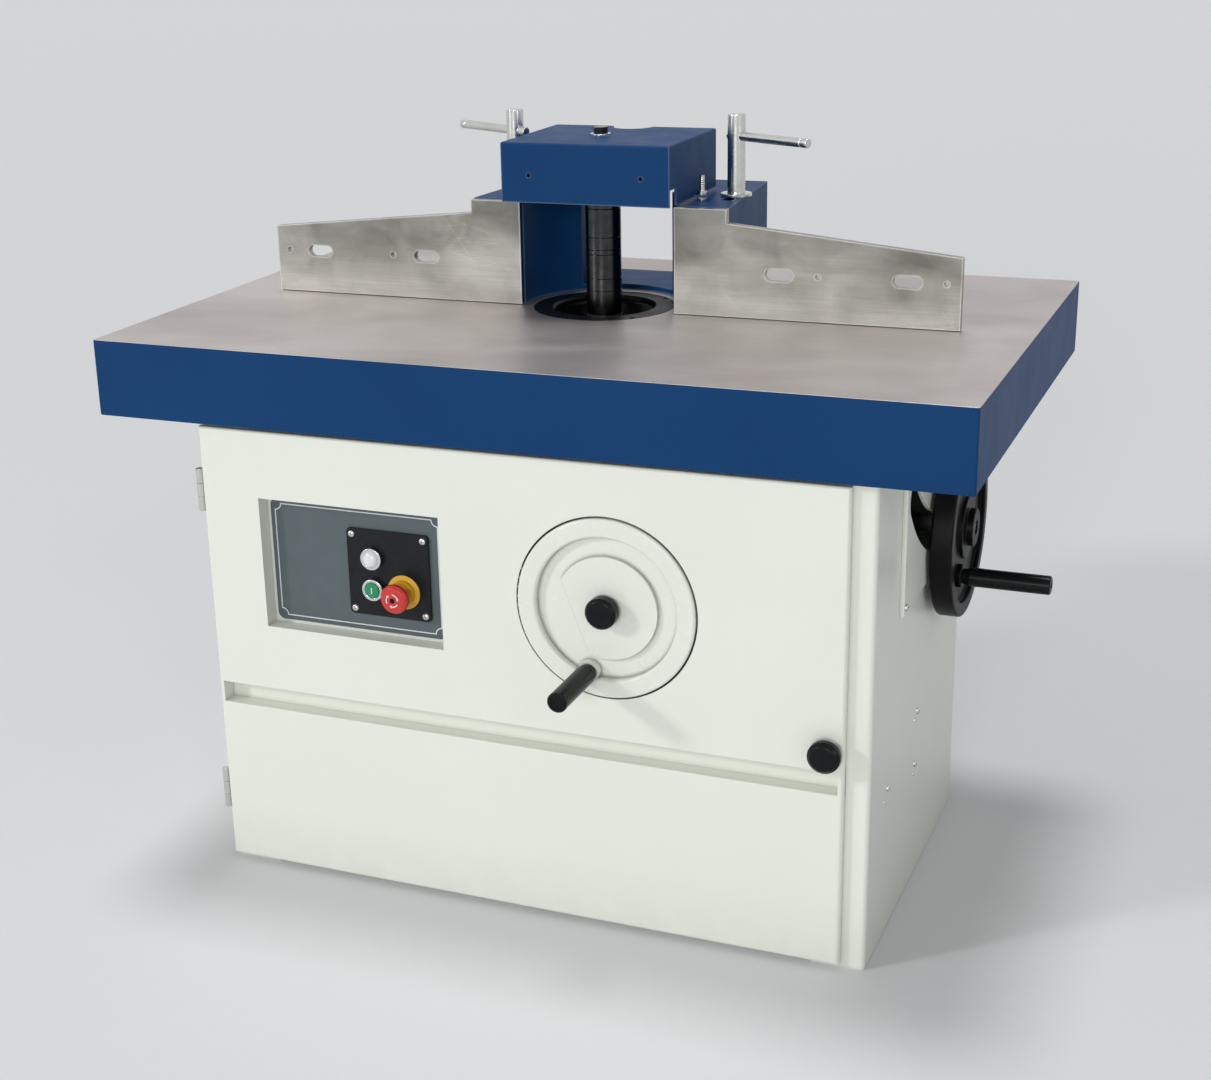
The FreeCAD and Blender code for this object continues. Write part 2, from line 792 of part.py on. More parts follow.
def lift_screw():
    y = -lift_axis_forward
    shank = local_rod("z", lift_screw_offset, y, lift_screw_radius, cheek_top - 4,
                      lift_axis_drop + bevel_large + 30)
    gear = bevel("z", table_top - lift_axis_drop, -1)
    return join([shank, gear])


def lift_shaft():
    y = -lift_axis_forward
    start = lift_screw_offset + bevel_small
    shank = local_rod("x", y, lift_axis_drop, lift_shaft_radius, start, side_wheel_outer + 6 - spindle_x)
    pinion = bevel("x", spindle_x + lift_screw_offset, 1)
    return join([shank, pinion])


def side_wheel_place():
    return spindle_y - lift_axis_forward, table_top - lift_axis_drop


def side_grip_place():
    y, z = side_wheel_place()
    turn = math.radians(side_grip_turn)
    return y - side_grip_circle * math.sin(turn), z - side_grip_circle * math.cos(turn)


def lift_wheel():
    """Black dish wheel: a deep rim round a web, a stepped hub and a boss that carries the handle."""
    y, z = side_wheel_place()
    inner = side_wheel_radius - side_wheel_rim
    bore = lift_shaft_radius + running
    web_front = side_wheel_outer - side_dish_depth
    web_back = web_front - side_web
    step = side_wheel_hub + side_hub_step
    low, high = slot_face + 2, side_wheel_outer + 8
    shoulder = side_wheel_outer - 2
    wheel = turned("x", y, z, [
        (bore, low), (side_wheel_hub, low), (side_wheel_hub, web_back), (inner, web_back),
        (inner, side_wheel_inner), (side_wheel_radius, side_wheel_inner),
        (side_wheel_radius, side_wheel_outer), (inner, side_wheel_outer), (inner, web_front),
        (step, web_front), (step, shoulder), (side_wheel_hub, shoulder), (side_wheel_hub, high),
        (bore, high)])
    wheel = rounded(wheel, 4.0, lambda c, e: e.BoundBox.YLength > 2 * inner + 1)
    grip_y, grip_z = side_grip_place()
    boss = rod("x", grip_y, grip_z, side_grip_boss, web_back, side_wheel_outer)
    hole = rod("x", grip_y, grip_z, grip_bolt_radius + running, web_back, side_wheel_outer)
    return join([wheel, boss]).cut(hole)


def side_grip_span():
    root = side_wheel_outer + sliding
    return root, root + side_grip_length


def lift_grip_bolt():
    root, tip = side_grip_span()
    y, z = side_grip_place()
    return grip_bolt("x", y, z, root - 16, tip, 1)


def lift_grip():
    root, tip = side_grip_span()
    y, z = side_grip_place()
    return grip("x", y, z, side_grip_radius, root, tip, 1)


# Rising slide, spindle and motor


def spindle_slide():
    body = local_rod("z", 0, 0, housing_radius, housing_top, housing_bottom)
    plate = local_block(-slide_half_width, slide_half_width, housing_radius - 16, column_front - sliding,
                        housing_top, housing_bottom)
    tongue = dovetail(dovetail_half, dovetail_flare - sliding, dovetail_depth, column_front - sliding,
                      housing_top, housing_bottom)
    y = -lift_axis_forward
    nut_top = cheek_top + 46
    nut = local_block(housing_radius - 8, lift_screw_offset + 12, y - 14, y + 14, nut_top, nut_top + 22)
    seat = local_block(-slide_half_width - 30, -slide_half_width + 10, -40, housing_radius,
                       motor_seat - 14, motor_seat)
    cutters = [
        local_rod("z", 0, 0, bearing_radius, housing_top, housing_top + bearing_height + 6),
        local_rod("z", 0, 0, bearing_radius, housing_bottom - bearing_height - 6, housing_bottom),
        local_rod("z", 0, 0, bearing_radius - 6, housing_top, housing_bottom),
        local_rod("z", lift_screw_offset, y, lift_screw_radius + running, housing_top, housing_bottom),
    ]
    return without(join([body, plate, tongue, nut, seat]), cutters)


def bearing_drops():
    """Tops of the two bearings, each seated on a shoulder in the housing."""
    return housing_top + 6, housing_bottom - bearing_height - 6


def spindle_bearings():
    rings = []
    for drop in bearing_drops():
        outer = tube("z", spindle_x, spindle_y, bearing_radius - 0.02, journal_radius + running,
                     table_top - drop - bearing_height, table_top - drop)
        groove = tube("z", spindle_x, spindle_y, bearing_radius - 7, journal_radius + 7,
                      table_top - drop - 2, table_top - drop)
        rings.append(outer.cut(groove))
    return group(rings)


def motor_plate_shape():
    x = -motor_offset
    plate = local_block(x - motor_radius - 12, -slide_half_width - sliding, -motor_radius - 6,
                        housing_radius, motor_seat, motor_seat + motor_plate)
    shaft_hole = local_rod("z", x, 0, 32, motor_seat, motor_seat + motor_plate)
    return without(plate, [shaft_hole])


def motor_body():
    x, z_top = -motor_offset, motor_top
    core = local_rod("z", x, 0, motor_radius - 8, z_top + 30, motor_seat - 12)
    cowl = local_rod("z", x, 0, motor_radius, z_top, z_top + 32)
    flange = local_rod("z", x, 0, motor_radius + 4, motor_seat - 12, motor_seat)
    fins = []
    for step in range(motor_fin_count):
        fin = local_block(x + motor_radius - 14, x + motor_radius - 1, -1.2, 1.2,
                          z_top + 32, motor_seat - 12)
        fin.rotate(at_drop(0, 0, x), AXES["z"], step * 360 / motor_fin_count)
        fins.append(fin)
    box = local_block(x - 34, x + 34, -motor_radius - 24, -motor_radius + 16,
                      motor_seat - 74, motor_seat - 20)
    vents = [local_block(x - 40, x + 40, row - 1.5, row + 1.5, z_top, z_top + 4)
             for row in range(-36, 37, 12)]
    bore = local_rod("z", x, 0, 14 + running, motor_seat - 60, motor_seat)
    return without(join([core, cowl, flange] + fins + [box]), vents + [bore])


def grooved_pulley(x, radius, bore):
    """Flat-belt pulley with a rim at each end of its face."""
    top, bottom = table_top - pulley_top, table_top - pulley_bottom
    lip = (pulley_height - belt_height) / 2 - sliding
    return turned("z", spindle_x + x, spindle_y, [
        (bore, top), (radius + 3, top), (radius + 3, top - lip), (radius, top - lip), (radius, bottom + lip),
        (radius + 3, bottom + lip), (radius + 3, bottom), (bore, bottom)])


def spindle_pulley():
    return grooved_pulley(0, spindle_pulley_radius, arbor_radius + running)


def motor_pulley():
    """Motor shaft end with its pulley."""
    shaft = local_rod("z", -motor_offset, 0, 14, motor_seat - 58, pulley_bottom + 6)
    return join([shaft, grooved_pulley(-motor_offset, motor_pulley_radius, 14)])


def belt_loop(extra, low, high):
    """Outline of two wheels and the straight runs between them, pushed up to a band."""
    r0, r1 = spindle_pulley_radius + extra, motor_pulley_radius + extra
    lean = math.asin((r1 - r0) / motor_offset)
    east = [at_drop(r0 * math.cos(lean) * s, low, r0 * math.sin(lean)) for s in (1, -1)]
    west = [at_drop(r1 * math.cos(lean) * s, low, -motor_offset + r1 * math.sin(lean)) for s in (1, -1)]
    edges = [
        Part.Arc(east[0], at_drop(0, low, r0), east[1]),
        Part.LineSegment(east[1], west[1]),
        Part.Arc(west[1], at_drop(0, low, -motor_offset - r1), west[0]),
        Part.LineSegment(west[0], east[0]),
    ]
    return Part.Face(Part.Wire([edge.toShape() for edge in edges])).extrude(point(0, 0, low - high))


def drive_belt():
    high = pulley_top + (pulley_height - belt_height) / 2
    low = high + belt_height
    return belt_loop(sliding + belt_thickness, low, high).cut(belt_loop(sliding, low, high))


def spindle_arbor():
    top, stack = table_top + arbor_top, table_top + ring_stack_bottom
    collar_low = stack - collar_height
    journal = table_top - bearing_drops()[0]
    foot = table_top - housing_bottom - 2
    return turned("z", spindle_x, spindle_y, [
        (0, top), (arbor_radius - 5, top), (arbor_radius - 3, top - 2), (arbor_radius - 3, spacer_top() + 1),
        (arbor_radius, spacer_top() - 1), (arbor_radius, stack), (collar_radius, stack),
        (collar_radius, collar_low),
        (journal_radius + 3, collar_low), (journal_radius + 3, journal), (journal_radius, journal),
        (journal_radius, foot), (arbor_radius, foot), (arbor_radius, table_top - pulley_bottom - 8),
        (0, table_top - pulley_bottom - 8)])


def spacer_top():
    return table_top + ring_stack_bottom + sum(spacer_heights)


def spacer_rings():
    rings = []
    low = table_top + ring_stack_bottom
    edge = 0.6
    bore = arbor_radius + running
    for height in spacer_heights:
        high = low + height
        rings.append(turned("z", spindle_x, spindle_y, [
            (bore, low), (spacer_radius - edge, low), (spacer_radius, low + edge),
            (spacer_radius, high - edge), (spacer_radius - edge, high), (bore, high)]))
        low = high
    return group(rings)


def spindle_nut():
    low = spacer_top()
    nut = hexagon(spindle_x, spindle_y, low, 22, spindle_nut_height)
    return nut.cut(rod("z", spindle_x, spindle_y, arbor_radius - 3 + 1.1, low, low + spindle_nut_height))


# Door, hinges and controls


def front_door():
    front, back = door_y, post_y - door_seal
    outer = block(door_left, door_right, front, back, door_foot, wall_height)
    outer = rounded(outer, door_edge_radius, lambda c, e: abs(c.y - front) < 0.01)
    inner = block(door_left + door_skin, door_right - door_skin, front + door_skin, back,
                  door_foot + door_skin, wall_height - door_skin)
    shell = outer.cut(inner)
    trough_x0, trough_x1 = door_left + trough_end, door_right - trough_end
    trough_high = trough_low + trough_height
    trough = block(trough_x0 - door_skin, trough_x1 + door_skin, front + door_skin,
                   front + trough_depth + door_skin, trough_low - door_skin, trough_high + door_skin)
    trough_cut = block(trough_x0, trough_x1, front, front + trough_depth, trough_low, trough_high)
    pocket_x0 = door_left + pocket_left
    pocket_x1 = pocket_x0 + pocket_width
    pocket_high = pocket_low + pocket_height
    pocket = block(pocket_x0 - door_skin, pocket_x1 + door_skin, front + door_skin,
                   front + pocket_depth + door_skin, pocket_low - door_skin, pocket_high + door_skin)
    pocket_cut = block(pocket_x0, pocket_x1, front, front + pocket_depth, pocket_low, pocket_high)
    wheel_cut = rod("y", tilt_wheel_x, tilt_wheel_z, tilt_wheel_radius + wheel_hole_gap, front, back)
    knob_cut = rod("y", door_right - knob_from_edge, knob_z, 6, front, back)
    openings = [trough_cut, pocket_cut, wheel_cut, knob_cut] + contact_holes()
    shell = join([shell, trough, pocket]).cut(openings)
    return rounded(shell, door_skin * 0.9, lambda c, e: along(e, "x") and abs(c.y - front) < 0.01
                   and (abs(c.z - trough_low) < 0.01 or abs(c.z - trough_high) < 0.01))


def button_places():
    """Lamp, start button and stop button: three corners of a square on the button plate."""
    x = door_left + pocket_left + button_plate_left + button_plate_size / 2
    z = pocket_low + button_plate_low + button_plate_size / 2
    half = button_pitch / 2
    return {"lamp": (x - half, z + half), "start": (x - half, z - half), "stop": (x + half, z - half)}


def pocket_floor():
    return door_y + pocket_depth


def contact_holes():
    return [rod("y", x, z, 8, pocket_floor() - control_plate, pocket_floor() + door_skin)
            for x, z in button_places().values()]


def control_plate_shape():
    x0 = door_left + pocket_left + control_margin
    x1 = x0 + pocket_width - 2 * control_margin
    z0, z1 = pocket_low + control_margin, pocket_low + pocket_height - control_margin
    plate = block(x0, x1, pocket_floor() - control_plate, pocket_floor(), z0, z1)
    plate = rounded(plate, 10.0, lambda c, e: along(e, "y"))
    return plate.cut(contact_holes())


def button_face():
    return pocket_floor() - control_plate - button_plate_thickness


def button_plate_corner():
    return door_left + pocket_left + button_plate_left, pocket_low + button_plate_low


def button_plate():
    """Black plate with a raised collar round the lamp and the start button."""
    x, z = button_plate_corner()
    face = button_face()
    plate = block(x, x + button_plate_size, face, face + button_plate_thickness, z, z + button_plate_size)
    plate = rounded(plate, 6.0, lambda c, e: along(e, "y"))
    back = face + button_plate_thickness
    round_places = [button_places()[name] for name in ("lamp", "start")]
    collars = [rod("y", a, b, bezel_radius, face - 8, face + 1) for a, b in round_places]
    bores = [rod("y", a, b, button_radius + sliding, face - 8, back) for a, b in round_places]
    stop = rod("y", *button_places()["stop"], 9, face, back)
    return without(join([plate] + collars), bores + [stop])


def button_plate_screws():
    x, z = button_plate_corner()
    inset = 8.0
    face = button_face()
    sides = (inset, button_plate_size - inset)
    outline = [(0, face), (5, face), (4.4, face - 1.8), (2.6, face - 3), (0, face - 3.2)]
    return group([turned("y", x + dx, z + dz, outline) for dx in sides for dz in sides])


def lamp():
    x, z = button_places()["lamp"]
    face = button_face()
    return turned("y", x, z, [(0, face), (button_radius, face), (button_radius, face - 8), (9.5, face - 11),
                              (6, face - 13), (0, face - 13.6)])


def start_button():
    x, z = button_places()["start"]
    face = button_face()
    back = face + button_plate_thickness - button_travel - 1
    return turned("y", x, z, [(0, back), (button_radius, back), (button_radius, face - 9),
                              (9.8, face - 10.2), (0, face - 10.2)])


def estop_ring():
    """Yellow disc under the stop button."""
    x, z = button_places()["stop"]
    face = button_face()
    return turned("y", x, z, [(9, face), (estop_ring_radius, face), (estop_ring_radius, face - 1.5),
                              (18, face - 3), (18, face - 9), (9, face - 9)])


def estop_button():
    x, z = button_places()["stop"]
    face = button_face() - 9 - estop_travel - 1
    return turned("y", x, z, [
        (0, face + 18), (8, face + 18), (8, face), (13, face), (estop_radius, face - 9),
        (estop_radius, face - 14), (estop_radius - 3, face - 18), (0, face - 19.5)])


def contact_blocks():
    y0 = pocket_floor() + door_skin
    blocks = []
    for name, (x, z) in button_places().items():
        body = block(x - 15, x + 15, y0, y0 + 30, z - 20, z + 20)
        hole = rod("y", x, z, 8 + running, y0, y0 + 14)
        blocks.append(body.cut(hole) if name == "stop" else body)
    return group(blocks)


def latch_knob():
    x = door_right - knob_from_edge
    face = door_y - sliding
    return turned("y", x, knob_z, [
        (0, post_y + 9), (5, post_y + 9), (5, face), (9, face), (9, face - 6), (knob_radius - 3, face - 8),
        (knob_radius, face - 11), (knob_radius, face - 19), (knob_radius - 5, face - 24), (0, face - 26)])


def hinge_axis():
    return door_left - hinge_offset, door_y + hinge_offset


def hinge_fixed_leaves():
    """Wall leaves of the two hinges, each with its pin pressed in."""
    x, y = hinge_axis()
    leaves = []
    for height in hinge_heights:
        low, high = height - hinge_half_height, height + hinge_half_height
        plate = block(door_left - sheet, door_left, post_y + 1, post_y + 34, low, high)
        neck = block(door_left - sheet, door_left - 0.6, y + 1, post_y + 1, low, high)
        knuckle = rod("z", x, y, hinge_radius, low, high)
        gap = block(x - 20, door_left, y - 20, post_y + 0.5, height - knuckle_half, height + knuckle_half)
        leaf = join([plate, neck, knuckle]).cut(gap)
        leaves.append(join([leaf, rod("z", x, y, hinge_pin_radius, low, high)]))
    return group(leaves)


def hinge_door_leaves():
    x, y = hinge_axis()
    half = knuckle_half - sliding
    leaves = []
    for height in hinge_heights:
        low, high = height - half, height + half
        plate = block(door_left - sheet, door_left, door_y + door_edge_radius, post_y - 1, low, high)
        knuckle = rod("z", x, y, hinge_radius, low, high)
        pin = rod("z", x, y, hinge_pin_radius + running, low, high)
        leaves.append(without(join([plate, knuckle]), [pin]))
    return group(leaves)


# Fence


def cheek_outline(skin):
    """Plan of the right cheek: flat front, curved wall round the cutter, straight mouth, tapered side."""
    front = fence_back_y + fence_gap + skin
    back = fence_back_y + cheek_length - skin
    outer = fence_gap_half + fence_inner_length - skin
    rear_outer = outer - cheek_taper
    radius = cutter_clearance + skin
    mouth = cheek_mouth + skin
    start = math.sqrt(radius ** 2 - (front - spindle_y) ** 2)
    end_y = spindle_y + math.sqrt(radius ** 2 - mouth ** 2)
    return front, back, outer, rear_outer, radius, mouth, start, end_y


def cheek_solid(skin, low, high):
    front, back, outer, rear_outer, radius, mouth, start, end_y = cheek_outline(skin)
    begin = math.atan2(front - spindle_y, start)
    finish = math.atan2(end_y - spindle_y, mouth)
    middle = (begin + finish) / 2
    z = table_top + low

    def spot(x, y):
        return point(spindle_x + x, y, z)

    bend = spot(radius * math.cos(middle), spindle_y + radius * math.sin(middle))
    edges = [
        Part.LineSegment(spot(outer, front), spot(start, front)),
        Part.Arc(spot(start, front), bend, spot(mouth, end_y)),
        Part.LineSegment(spot(mouth, end_y), spot(mouth, back)),
        Part.LineSegment(spot(mouth, back), spot(rear_outer, back)),
        Part.LineSegment(spot(rear_outer, back), spot(outer, front)),
    ]
    return Part.Face(Part.Wire([edge.toShape() for edge in edges])).extrude(point(0, 0, high - low))


def clamp_slot(low, high):
    """Slot along Y that lets the housing move past a fixed clamp stud."""
    x, y = spindle_x + clamp_offset_x, spindle_y + clamp_offset_y
    half = clamp_stud_radius + 1.2
    y0, y1 = y - fence_back - 1, y + fence_forward + 1
    return join([block(x - half, x + half, y0, y1, table_top + low, table_top + high),
                 rod("z", x, y0, half, table_top + low, table_top + high),
                 rod("z", x, y1, half, table_top + low, table_top + high)])


def fence_housing():
    """Welded cutter housing: a base with a round mouth and two hollow cheeks."""
    front = fence_back_y + fence_gap
    back = fence_back_y + cheek_length
    half = fence_gap_half + fence_inner_length
    base = block(spindle_x - half + cheek_taper, spindle_x + half - cheek_taper, front, back,
                 table_top + sliding, table_top + housing_base)
    mouth = rod("z", spindle_x, spindle_y, cutter_clearance, table_top, table_top + housing_base)
    outer = cheek_solid(0, sliding, cheek_height)
    inner = cheek_solid(cheek_skin, housing_base, cheek_height - cheek_skin)
    stud_half = fence_travel + 6.0
    for height in fence_stud_heights:
        x = spindle_x + fence_gap_half + fence_stud_place
        inner = inner.fuse(block(x - stud_half, x + stud_half, front, front + cheek_skin + 1,
                                 table_top + height - 5.6, table_top + height + 5.6))
    upper_slot = clamp_slot(cheek_height - cheek_skin - 1, cheek_height)
    right = outer.cut([inner, clamp_slot(0, housing_base + 1), upper_slot])
    holes = [clamp_slot(0, housing_base), inner]
    middle = base.cut([mouth] + holes + [mirrored(hole, spindle_x) for hole in holes])
    return join([middle, right, mirrored(right, spindle_x)])


def fence_plate():
    """Right fence plate with its clamp studs and nuts; the left one is its mirror image."""
    x0 = spindle_x + fence_gap_half
    low = table_top + 1
    step = x0 + fence_inner_length
    end = x0 + fence_length
    outline = [(x0, low), (end, low), (end, table_top + fence_outer_height),
               (step, table_top + fence_slope_height), (step, table_top + fence_inner_height),
               (x0, table_top + fence_inner_height)]
    plate = prism([point(x, fence_y, z) for x, z in outline], point(0, fence_thickness, 0))
    bevel_plan = [(x0, fence_y + 2), (x0 + fence_thickness - 2, fence_back_y), (x0, fence_back_y)]
    bevel_cut = prism([point(x, y, low - 1) for x, y in bevel_plan], point(0, 0, fence_inner_height + 2))
    cutters = [bevel_cut]
    z = table_top + fence_slot_z
    reach = (fence_slot_length - fence_slot_height) / 2
    radius = fence_slot_height / 2
    for place in fence_slot_places:
        x = x0 + place
        cutters.append(block(x - reach, x + reach, fence_y, fence_back_y, z - radius, z + radius))
        for end_x in (x - reach, x + reach):
            cutters.append(rod("y", end_x, z, radius, fence_y, fence_back_y))
    for place in fence_hole_places:
        cutters.append(rod("y", x0 + place, z, fence_hole_radius, fence_y, fence_back_y))
    plate = plate.cut(cutters)
    studs = []
    inside = fence_back_y + fence_gap + cheek_skin + sliding
    for height in fence_stud_heights:
        x = spindle_x + fence_gap_half + fence_stud_place
        studs.append(rod("y", x, table_top + height, 5, fence_back_y, inside + 12))
        studs.append(rod("y", x, table_top + height, 12, inside, inside + 2.5))
        studs.append(rod("y", x, table_top + height, 8.5, inside + 2.5, inside + 10))
    return join([plate] + studs)


def right_fence_plate():
    return fence_plate()


def left_fence_plate():
    return mirrored(fence_plate(), spindle_x)


def clamp_base():
    return table_top + cheek_height + sliding


def clamp_place(side):
    return spindle_x + side * clamp_offset_x, spindle_y + clamp_offset_y


def bar_height():
    return clamp_base() + clamp_washer + clamp_rod_height - clamp_bar_drop


def swung(shape, side):
    """Turns a shape made along X to the way a clamp bar points; the two bars are parallel."""
    half_turn = 180 if side < 0 else 0
    shape.rotate(point(*clamp_place(side), 0), AXES["z"], clamp_bar_turn + half_turn)
    return shape


def clamp_screw(side):
    """Clamp screw with its washer; its stud goes down into the table."""
    x, y = clamp_place(side)
    seat = clamp_base()
    top = seat + clamp_washer + clamp_rod_height
    screw = turned("z", x, y, [
        (0, plate_under), (clamp_stud_radius, plate_under), (clamp_stud_radius, seat),
        (clamp_washer_radius, seat), (clamp_washer_radius, seat + clamp_washer - 1),
        (clamp_washer_radius - 1, seat + clamp_washer), (clamp_rod_radius, seat + clamp_washer),
        (clamp_rod_radius, top - 1.5), (clamp_rod_radius - 1.5, top), (0, top)])
    hole = rod("x", y, bar_height(), clamp_bar_radius + running, x - clamp_rod_radius, x + clamp_rod_radius)
    return screw.cut(swung(hole, side))


def right_clamp_screw():
    return clamp_screw(1)


def left_clamp_screw():
    return clamp_screw(-1)


def clamp_bar(side, stub):
    """Cross bar that slides through a clamp screw, with a groove near its long end."""
    x, y = clamp_place(side)
    start = x - stub
    end = start + clamp_bar_length
    r = clamp_bar_radius
    bar = turned("x", y, bar_height(), [
        (0, start), (r - 1.5, start), (r, start + 1.5), (r, end - 14), (r - 0.8, end - 12),
        (r, end - 10), (r, end - 1.5), (r - 1.5, end), (0, end)])
    return swung(bar, side)


def right_clamp_bar():
    return clamp_bar(1, right_bar_stub)


def left_clamp_bar():
    return clamp_bar(-1, left_bar_stub)


def hood():
    """Bent cover over the cutter, with a deep front skirt and two feet for its studs."""
    front = fence_y - hood_front
    back = front + hood_depth
    top = table_top + hood_top
    x0, x1 = spindle_x - hood_half_width, spindle_x + hood_half_width
    lid = block(x0, x1, front, back, top - hood_skin, top)
    skirt = block(x0, x1, front, front + hood_skin, top - hood_skirt_front, top)
    sides = [block(x, x + hood_skin, front, back, top - hood_skirt_side, top) for x in (x0, x1 - hood_skin)]
    shell = join([lid, skirt] + sides)
    shell = rounded(shell, 2.5, lambda c, e: abs(c.z - top) < 0.01 and (abs(c.y - front) < 0.01
                    or abs(c.x - x0) < 0.01 or abs(c.x - x1) < 0.01))
    foot_low = top - hood_skirt_side
    foot_high = foot_low + hood_skin
    y = spindle_y + hood_stud_back
    feet = []
    cutters = [rod("z", spindle_x + hood_cutout_offset, back, hood_cutout_radius, top - hood_skin, top),
               rod("z", *hood_bolt_place(), 5 + running, top - hood_skin, top)]
    for side in (-1, 1):
        inner = spindle_x + side * (hood_half_width - hood_skin)
        x = spindle_x + side * hood_stud_offset
        feet.append(block(inner, x + side * 12, y - 12, y + 12, foot_low, foot_high))
        cutters.append(rod("z", x, y, hood_stud_radius + running, foot_low, foot_high))
        cutters.append(block(inner, inner + side * hood_skin, front + hood_skin, front + hood_notch_length,
                             foot_low, foot_low + hood_notch_height))
        cutters.append(rod("y", spindle_x + side * hood_hole_offset, table_top + hood_hole_height, 3,
                           front, front + hood_skin))
    return without(join([shell] + feet), cutters)


def hood_bolt_place():
    return spindle_x - 14, spindle_y + 31


def hood_bolt():
    """Black hex bolt with a washer in the middle of the hood."""
    x, y = hood_bolt_place()
    top = table_top + hood_top
    head = hexagon(x, y, top + 2, 11, 9)
    return join([rod("z", x, y, 14, top, top + 2), head, rod("z", x, y, 5, top - 16, top + 2),
                 rod("z", x, y, 10, top - hood_skin - 8, top - hood_skin)])


def hood_studs():
    """Threaded studs on the cheeks; a collar carries each foot of the hood and a nut holds it down."""
    low = table_top + cheek_height
    foot_low = table_top + hood_top - hood_skirt_side
    nut_low = foot_low + hood_skin
    nut_high = nut_low + hood_stud_nut
    top = low + hood_stud_height
    r = hood_stud_radius
    pitch = 3.0
    outline = [(0, low), (r + 3, low), (r + 3, foot_low), (r, foot_low), (r, nut_low), (r + 3, nut_low),
               (r + 3, nut_high), (r, nut_high)]
    for turn in range(int((top - nut_high) / pitch)):
        z = nut_high + turn * pitch
        outline += [(r, z + 0.5), (r - 0.8, z + 1.5), (r, z + 2.5)]
    outline += [(r, top), (0, top)]
    y = spindle_y + hood_stud_back
    return group([turned("z", spindle_x + side * hood_stud_offset, y, outline) for side in (-1, 1)])


PIECES = {
    "base_pan": base_pan,
    "left_side_wall": left_side_wall,
    "right_side_wall": right_side_wall,
    "rear_panel": rear_panel,
    "panel_screws": panel_screws,
    "front_rail": front_rail,
    "table_bearers": table_bearers,
    "table": table,
    "frame_bolts": frame_bolts,
    "ring_insert": ring_insert,
    "ring_screws": ring_screws,
    "left_trunnion": left_trunnion,
    "right_trunnion": right_trunnion,
    "side_slot_plate": side_slot_plate,
    "tilt_stanchion": tilt_stanchion,
    "tilt_bearings": tilt_bearings,
    "hinge_fixed_leaves": hinge_fixed_leaves,
    "front_door": front_door,
    "hinge_door_leaves": hinge_door_leaves,
    "control_plate": control_plate_shape,
    "button_plate": button_plate,
    "button_plate_screws": button_plate_screws,
    "lamp": lamp,
    "start_button": start_button,
    "estop_ring": estop_ring,
    "estop_button": estop_button,
    "contact_blocks": contact_blocks,
    "latch_knob": latch_knob,
    "tilt_wheel": tilt_wheel,
    "tilt_screw": tilt_screw,
    "tilt_grip_bolt": tilt_grip_bolt,
    "tilt_grip": tilt_grip,
    "tilt_lock_knob": tilt_lock_knob,
    "tilt_nut": tilt_nut,
    "tilt_carriage": tilt_carriage,
    "lift_screw": lift_screw,
    "lift_shaft": lift_shaft,
    "lift_wheel": lift_wheel,
    "lift_grip_bolt": lift_grip_bolt,
    "lift_grip": lift_grip,
    "spindle_slide": spindle_slide,
    "spindle_bearings": spindle_bearings,
    "motor_plate": motor_plate_shape,
    "motor_body": motor_body,
    "drive_belt": drive_belt,
    "spindle_arbor": spindle_arbor,
    "spacer_rings": spacer_rings,
    "spindle_nut": spindle_nut,
    "spindle_pulley": spindle_pulley,
    "motor_pulley": motor_pulley,
    "fence_housing": fence_housing,
    "hood": hood,
    "hood_bolt": hood_bolt,
    "hood_studs": hood_studs,
    "left_fence_plate": left_fence_plate,
    "right_fence_plate": right_fence_plate,
    "left_clamp_screw": left_clamp_screw,
    "right_clamp_screw": right_clamp_screw,
    "left_clamp_bar": left_clamp_bar,
    "right_clamp_bar": right_clamp_bar,
}


def main():
    os.makedirs("parts", exist_ok=True)
    for name, make in PIECES.items():
        shape = make()
        shape.exportStep(os.path.join("parts", name + ".step"))
        print(f"{name}: {len(shape.Solids)} solids, {shape.Volume / 1000:.1f} cm3, valid {shape.isValid()}")


main()
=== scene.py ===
# %% [markdown]
# A spindle moulder is a floor machine that shapes wood: a cutter turns on an upright spindle that
# comes up through a flat iron table. The solids arrive finished from the CAD model. This lesson gives
# them soft edges, real finishes and the small fittings that a solid model leaves out.

# %% Load the machine
import json
import math

import bmesh
import bpy
from mathutils import Matrix, Vector


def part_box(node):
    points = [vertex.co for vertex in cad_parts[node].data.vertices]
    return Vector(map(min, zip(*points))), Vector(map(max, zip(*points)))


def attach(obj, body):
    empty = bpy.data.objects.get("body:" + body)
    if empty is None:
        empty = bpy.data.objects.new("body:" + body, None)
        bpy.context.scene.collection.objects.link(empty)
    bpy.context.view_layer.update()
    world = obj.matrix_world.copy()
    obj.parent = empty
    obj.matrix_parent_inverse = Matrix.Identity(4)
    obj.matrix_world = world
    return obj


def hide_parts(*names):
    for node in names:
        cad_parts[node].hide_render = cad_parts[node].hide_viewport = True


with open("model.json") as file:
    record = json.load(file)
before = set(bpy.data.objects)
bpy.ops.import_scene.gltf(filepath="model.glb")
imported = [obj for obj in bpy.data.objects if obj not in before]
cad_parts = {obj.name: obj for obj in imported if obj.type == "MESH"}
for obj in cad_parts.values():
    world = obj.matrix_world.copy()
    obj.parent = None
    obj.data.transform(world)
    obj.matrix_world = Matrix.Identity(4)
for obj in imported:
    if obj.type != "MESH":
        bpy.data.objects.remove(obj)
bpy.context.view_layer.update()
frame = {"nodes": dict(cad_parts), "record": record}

MM = 0.001
nodes = frame["nodes"]
scene = bpy.context.scene

# %% [markdown]
# The camera stands where the photographer stood: in front of the right corner, a little above the
# table. A long lens at that distance keeps the machine's edges almost parallel. Guessing an angle and
# adjusting it by eye also works, but this place was worked out from the straight edges of table and door.

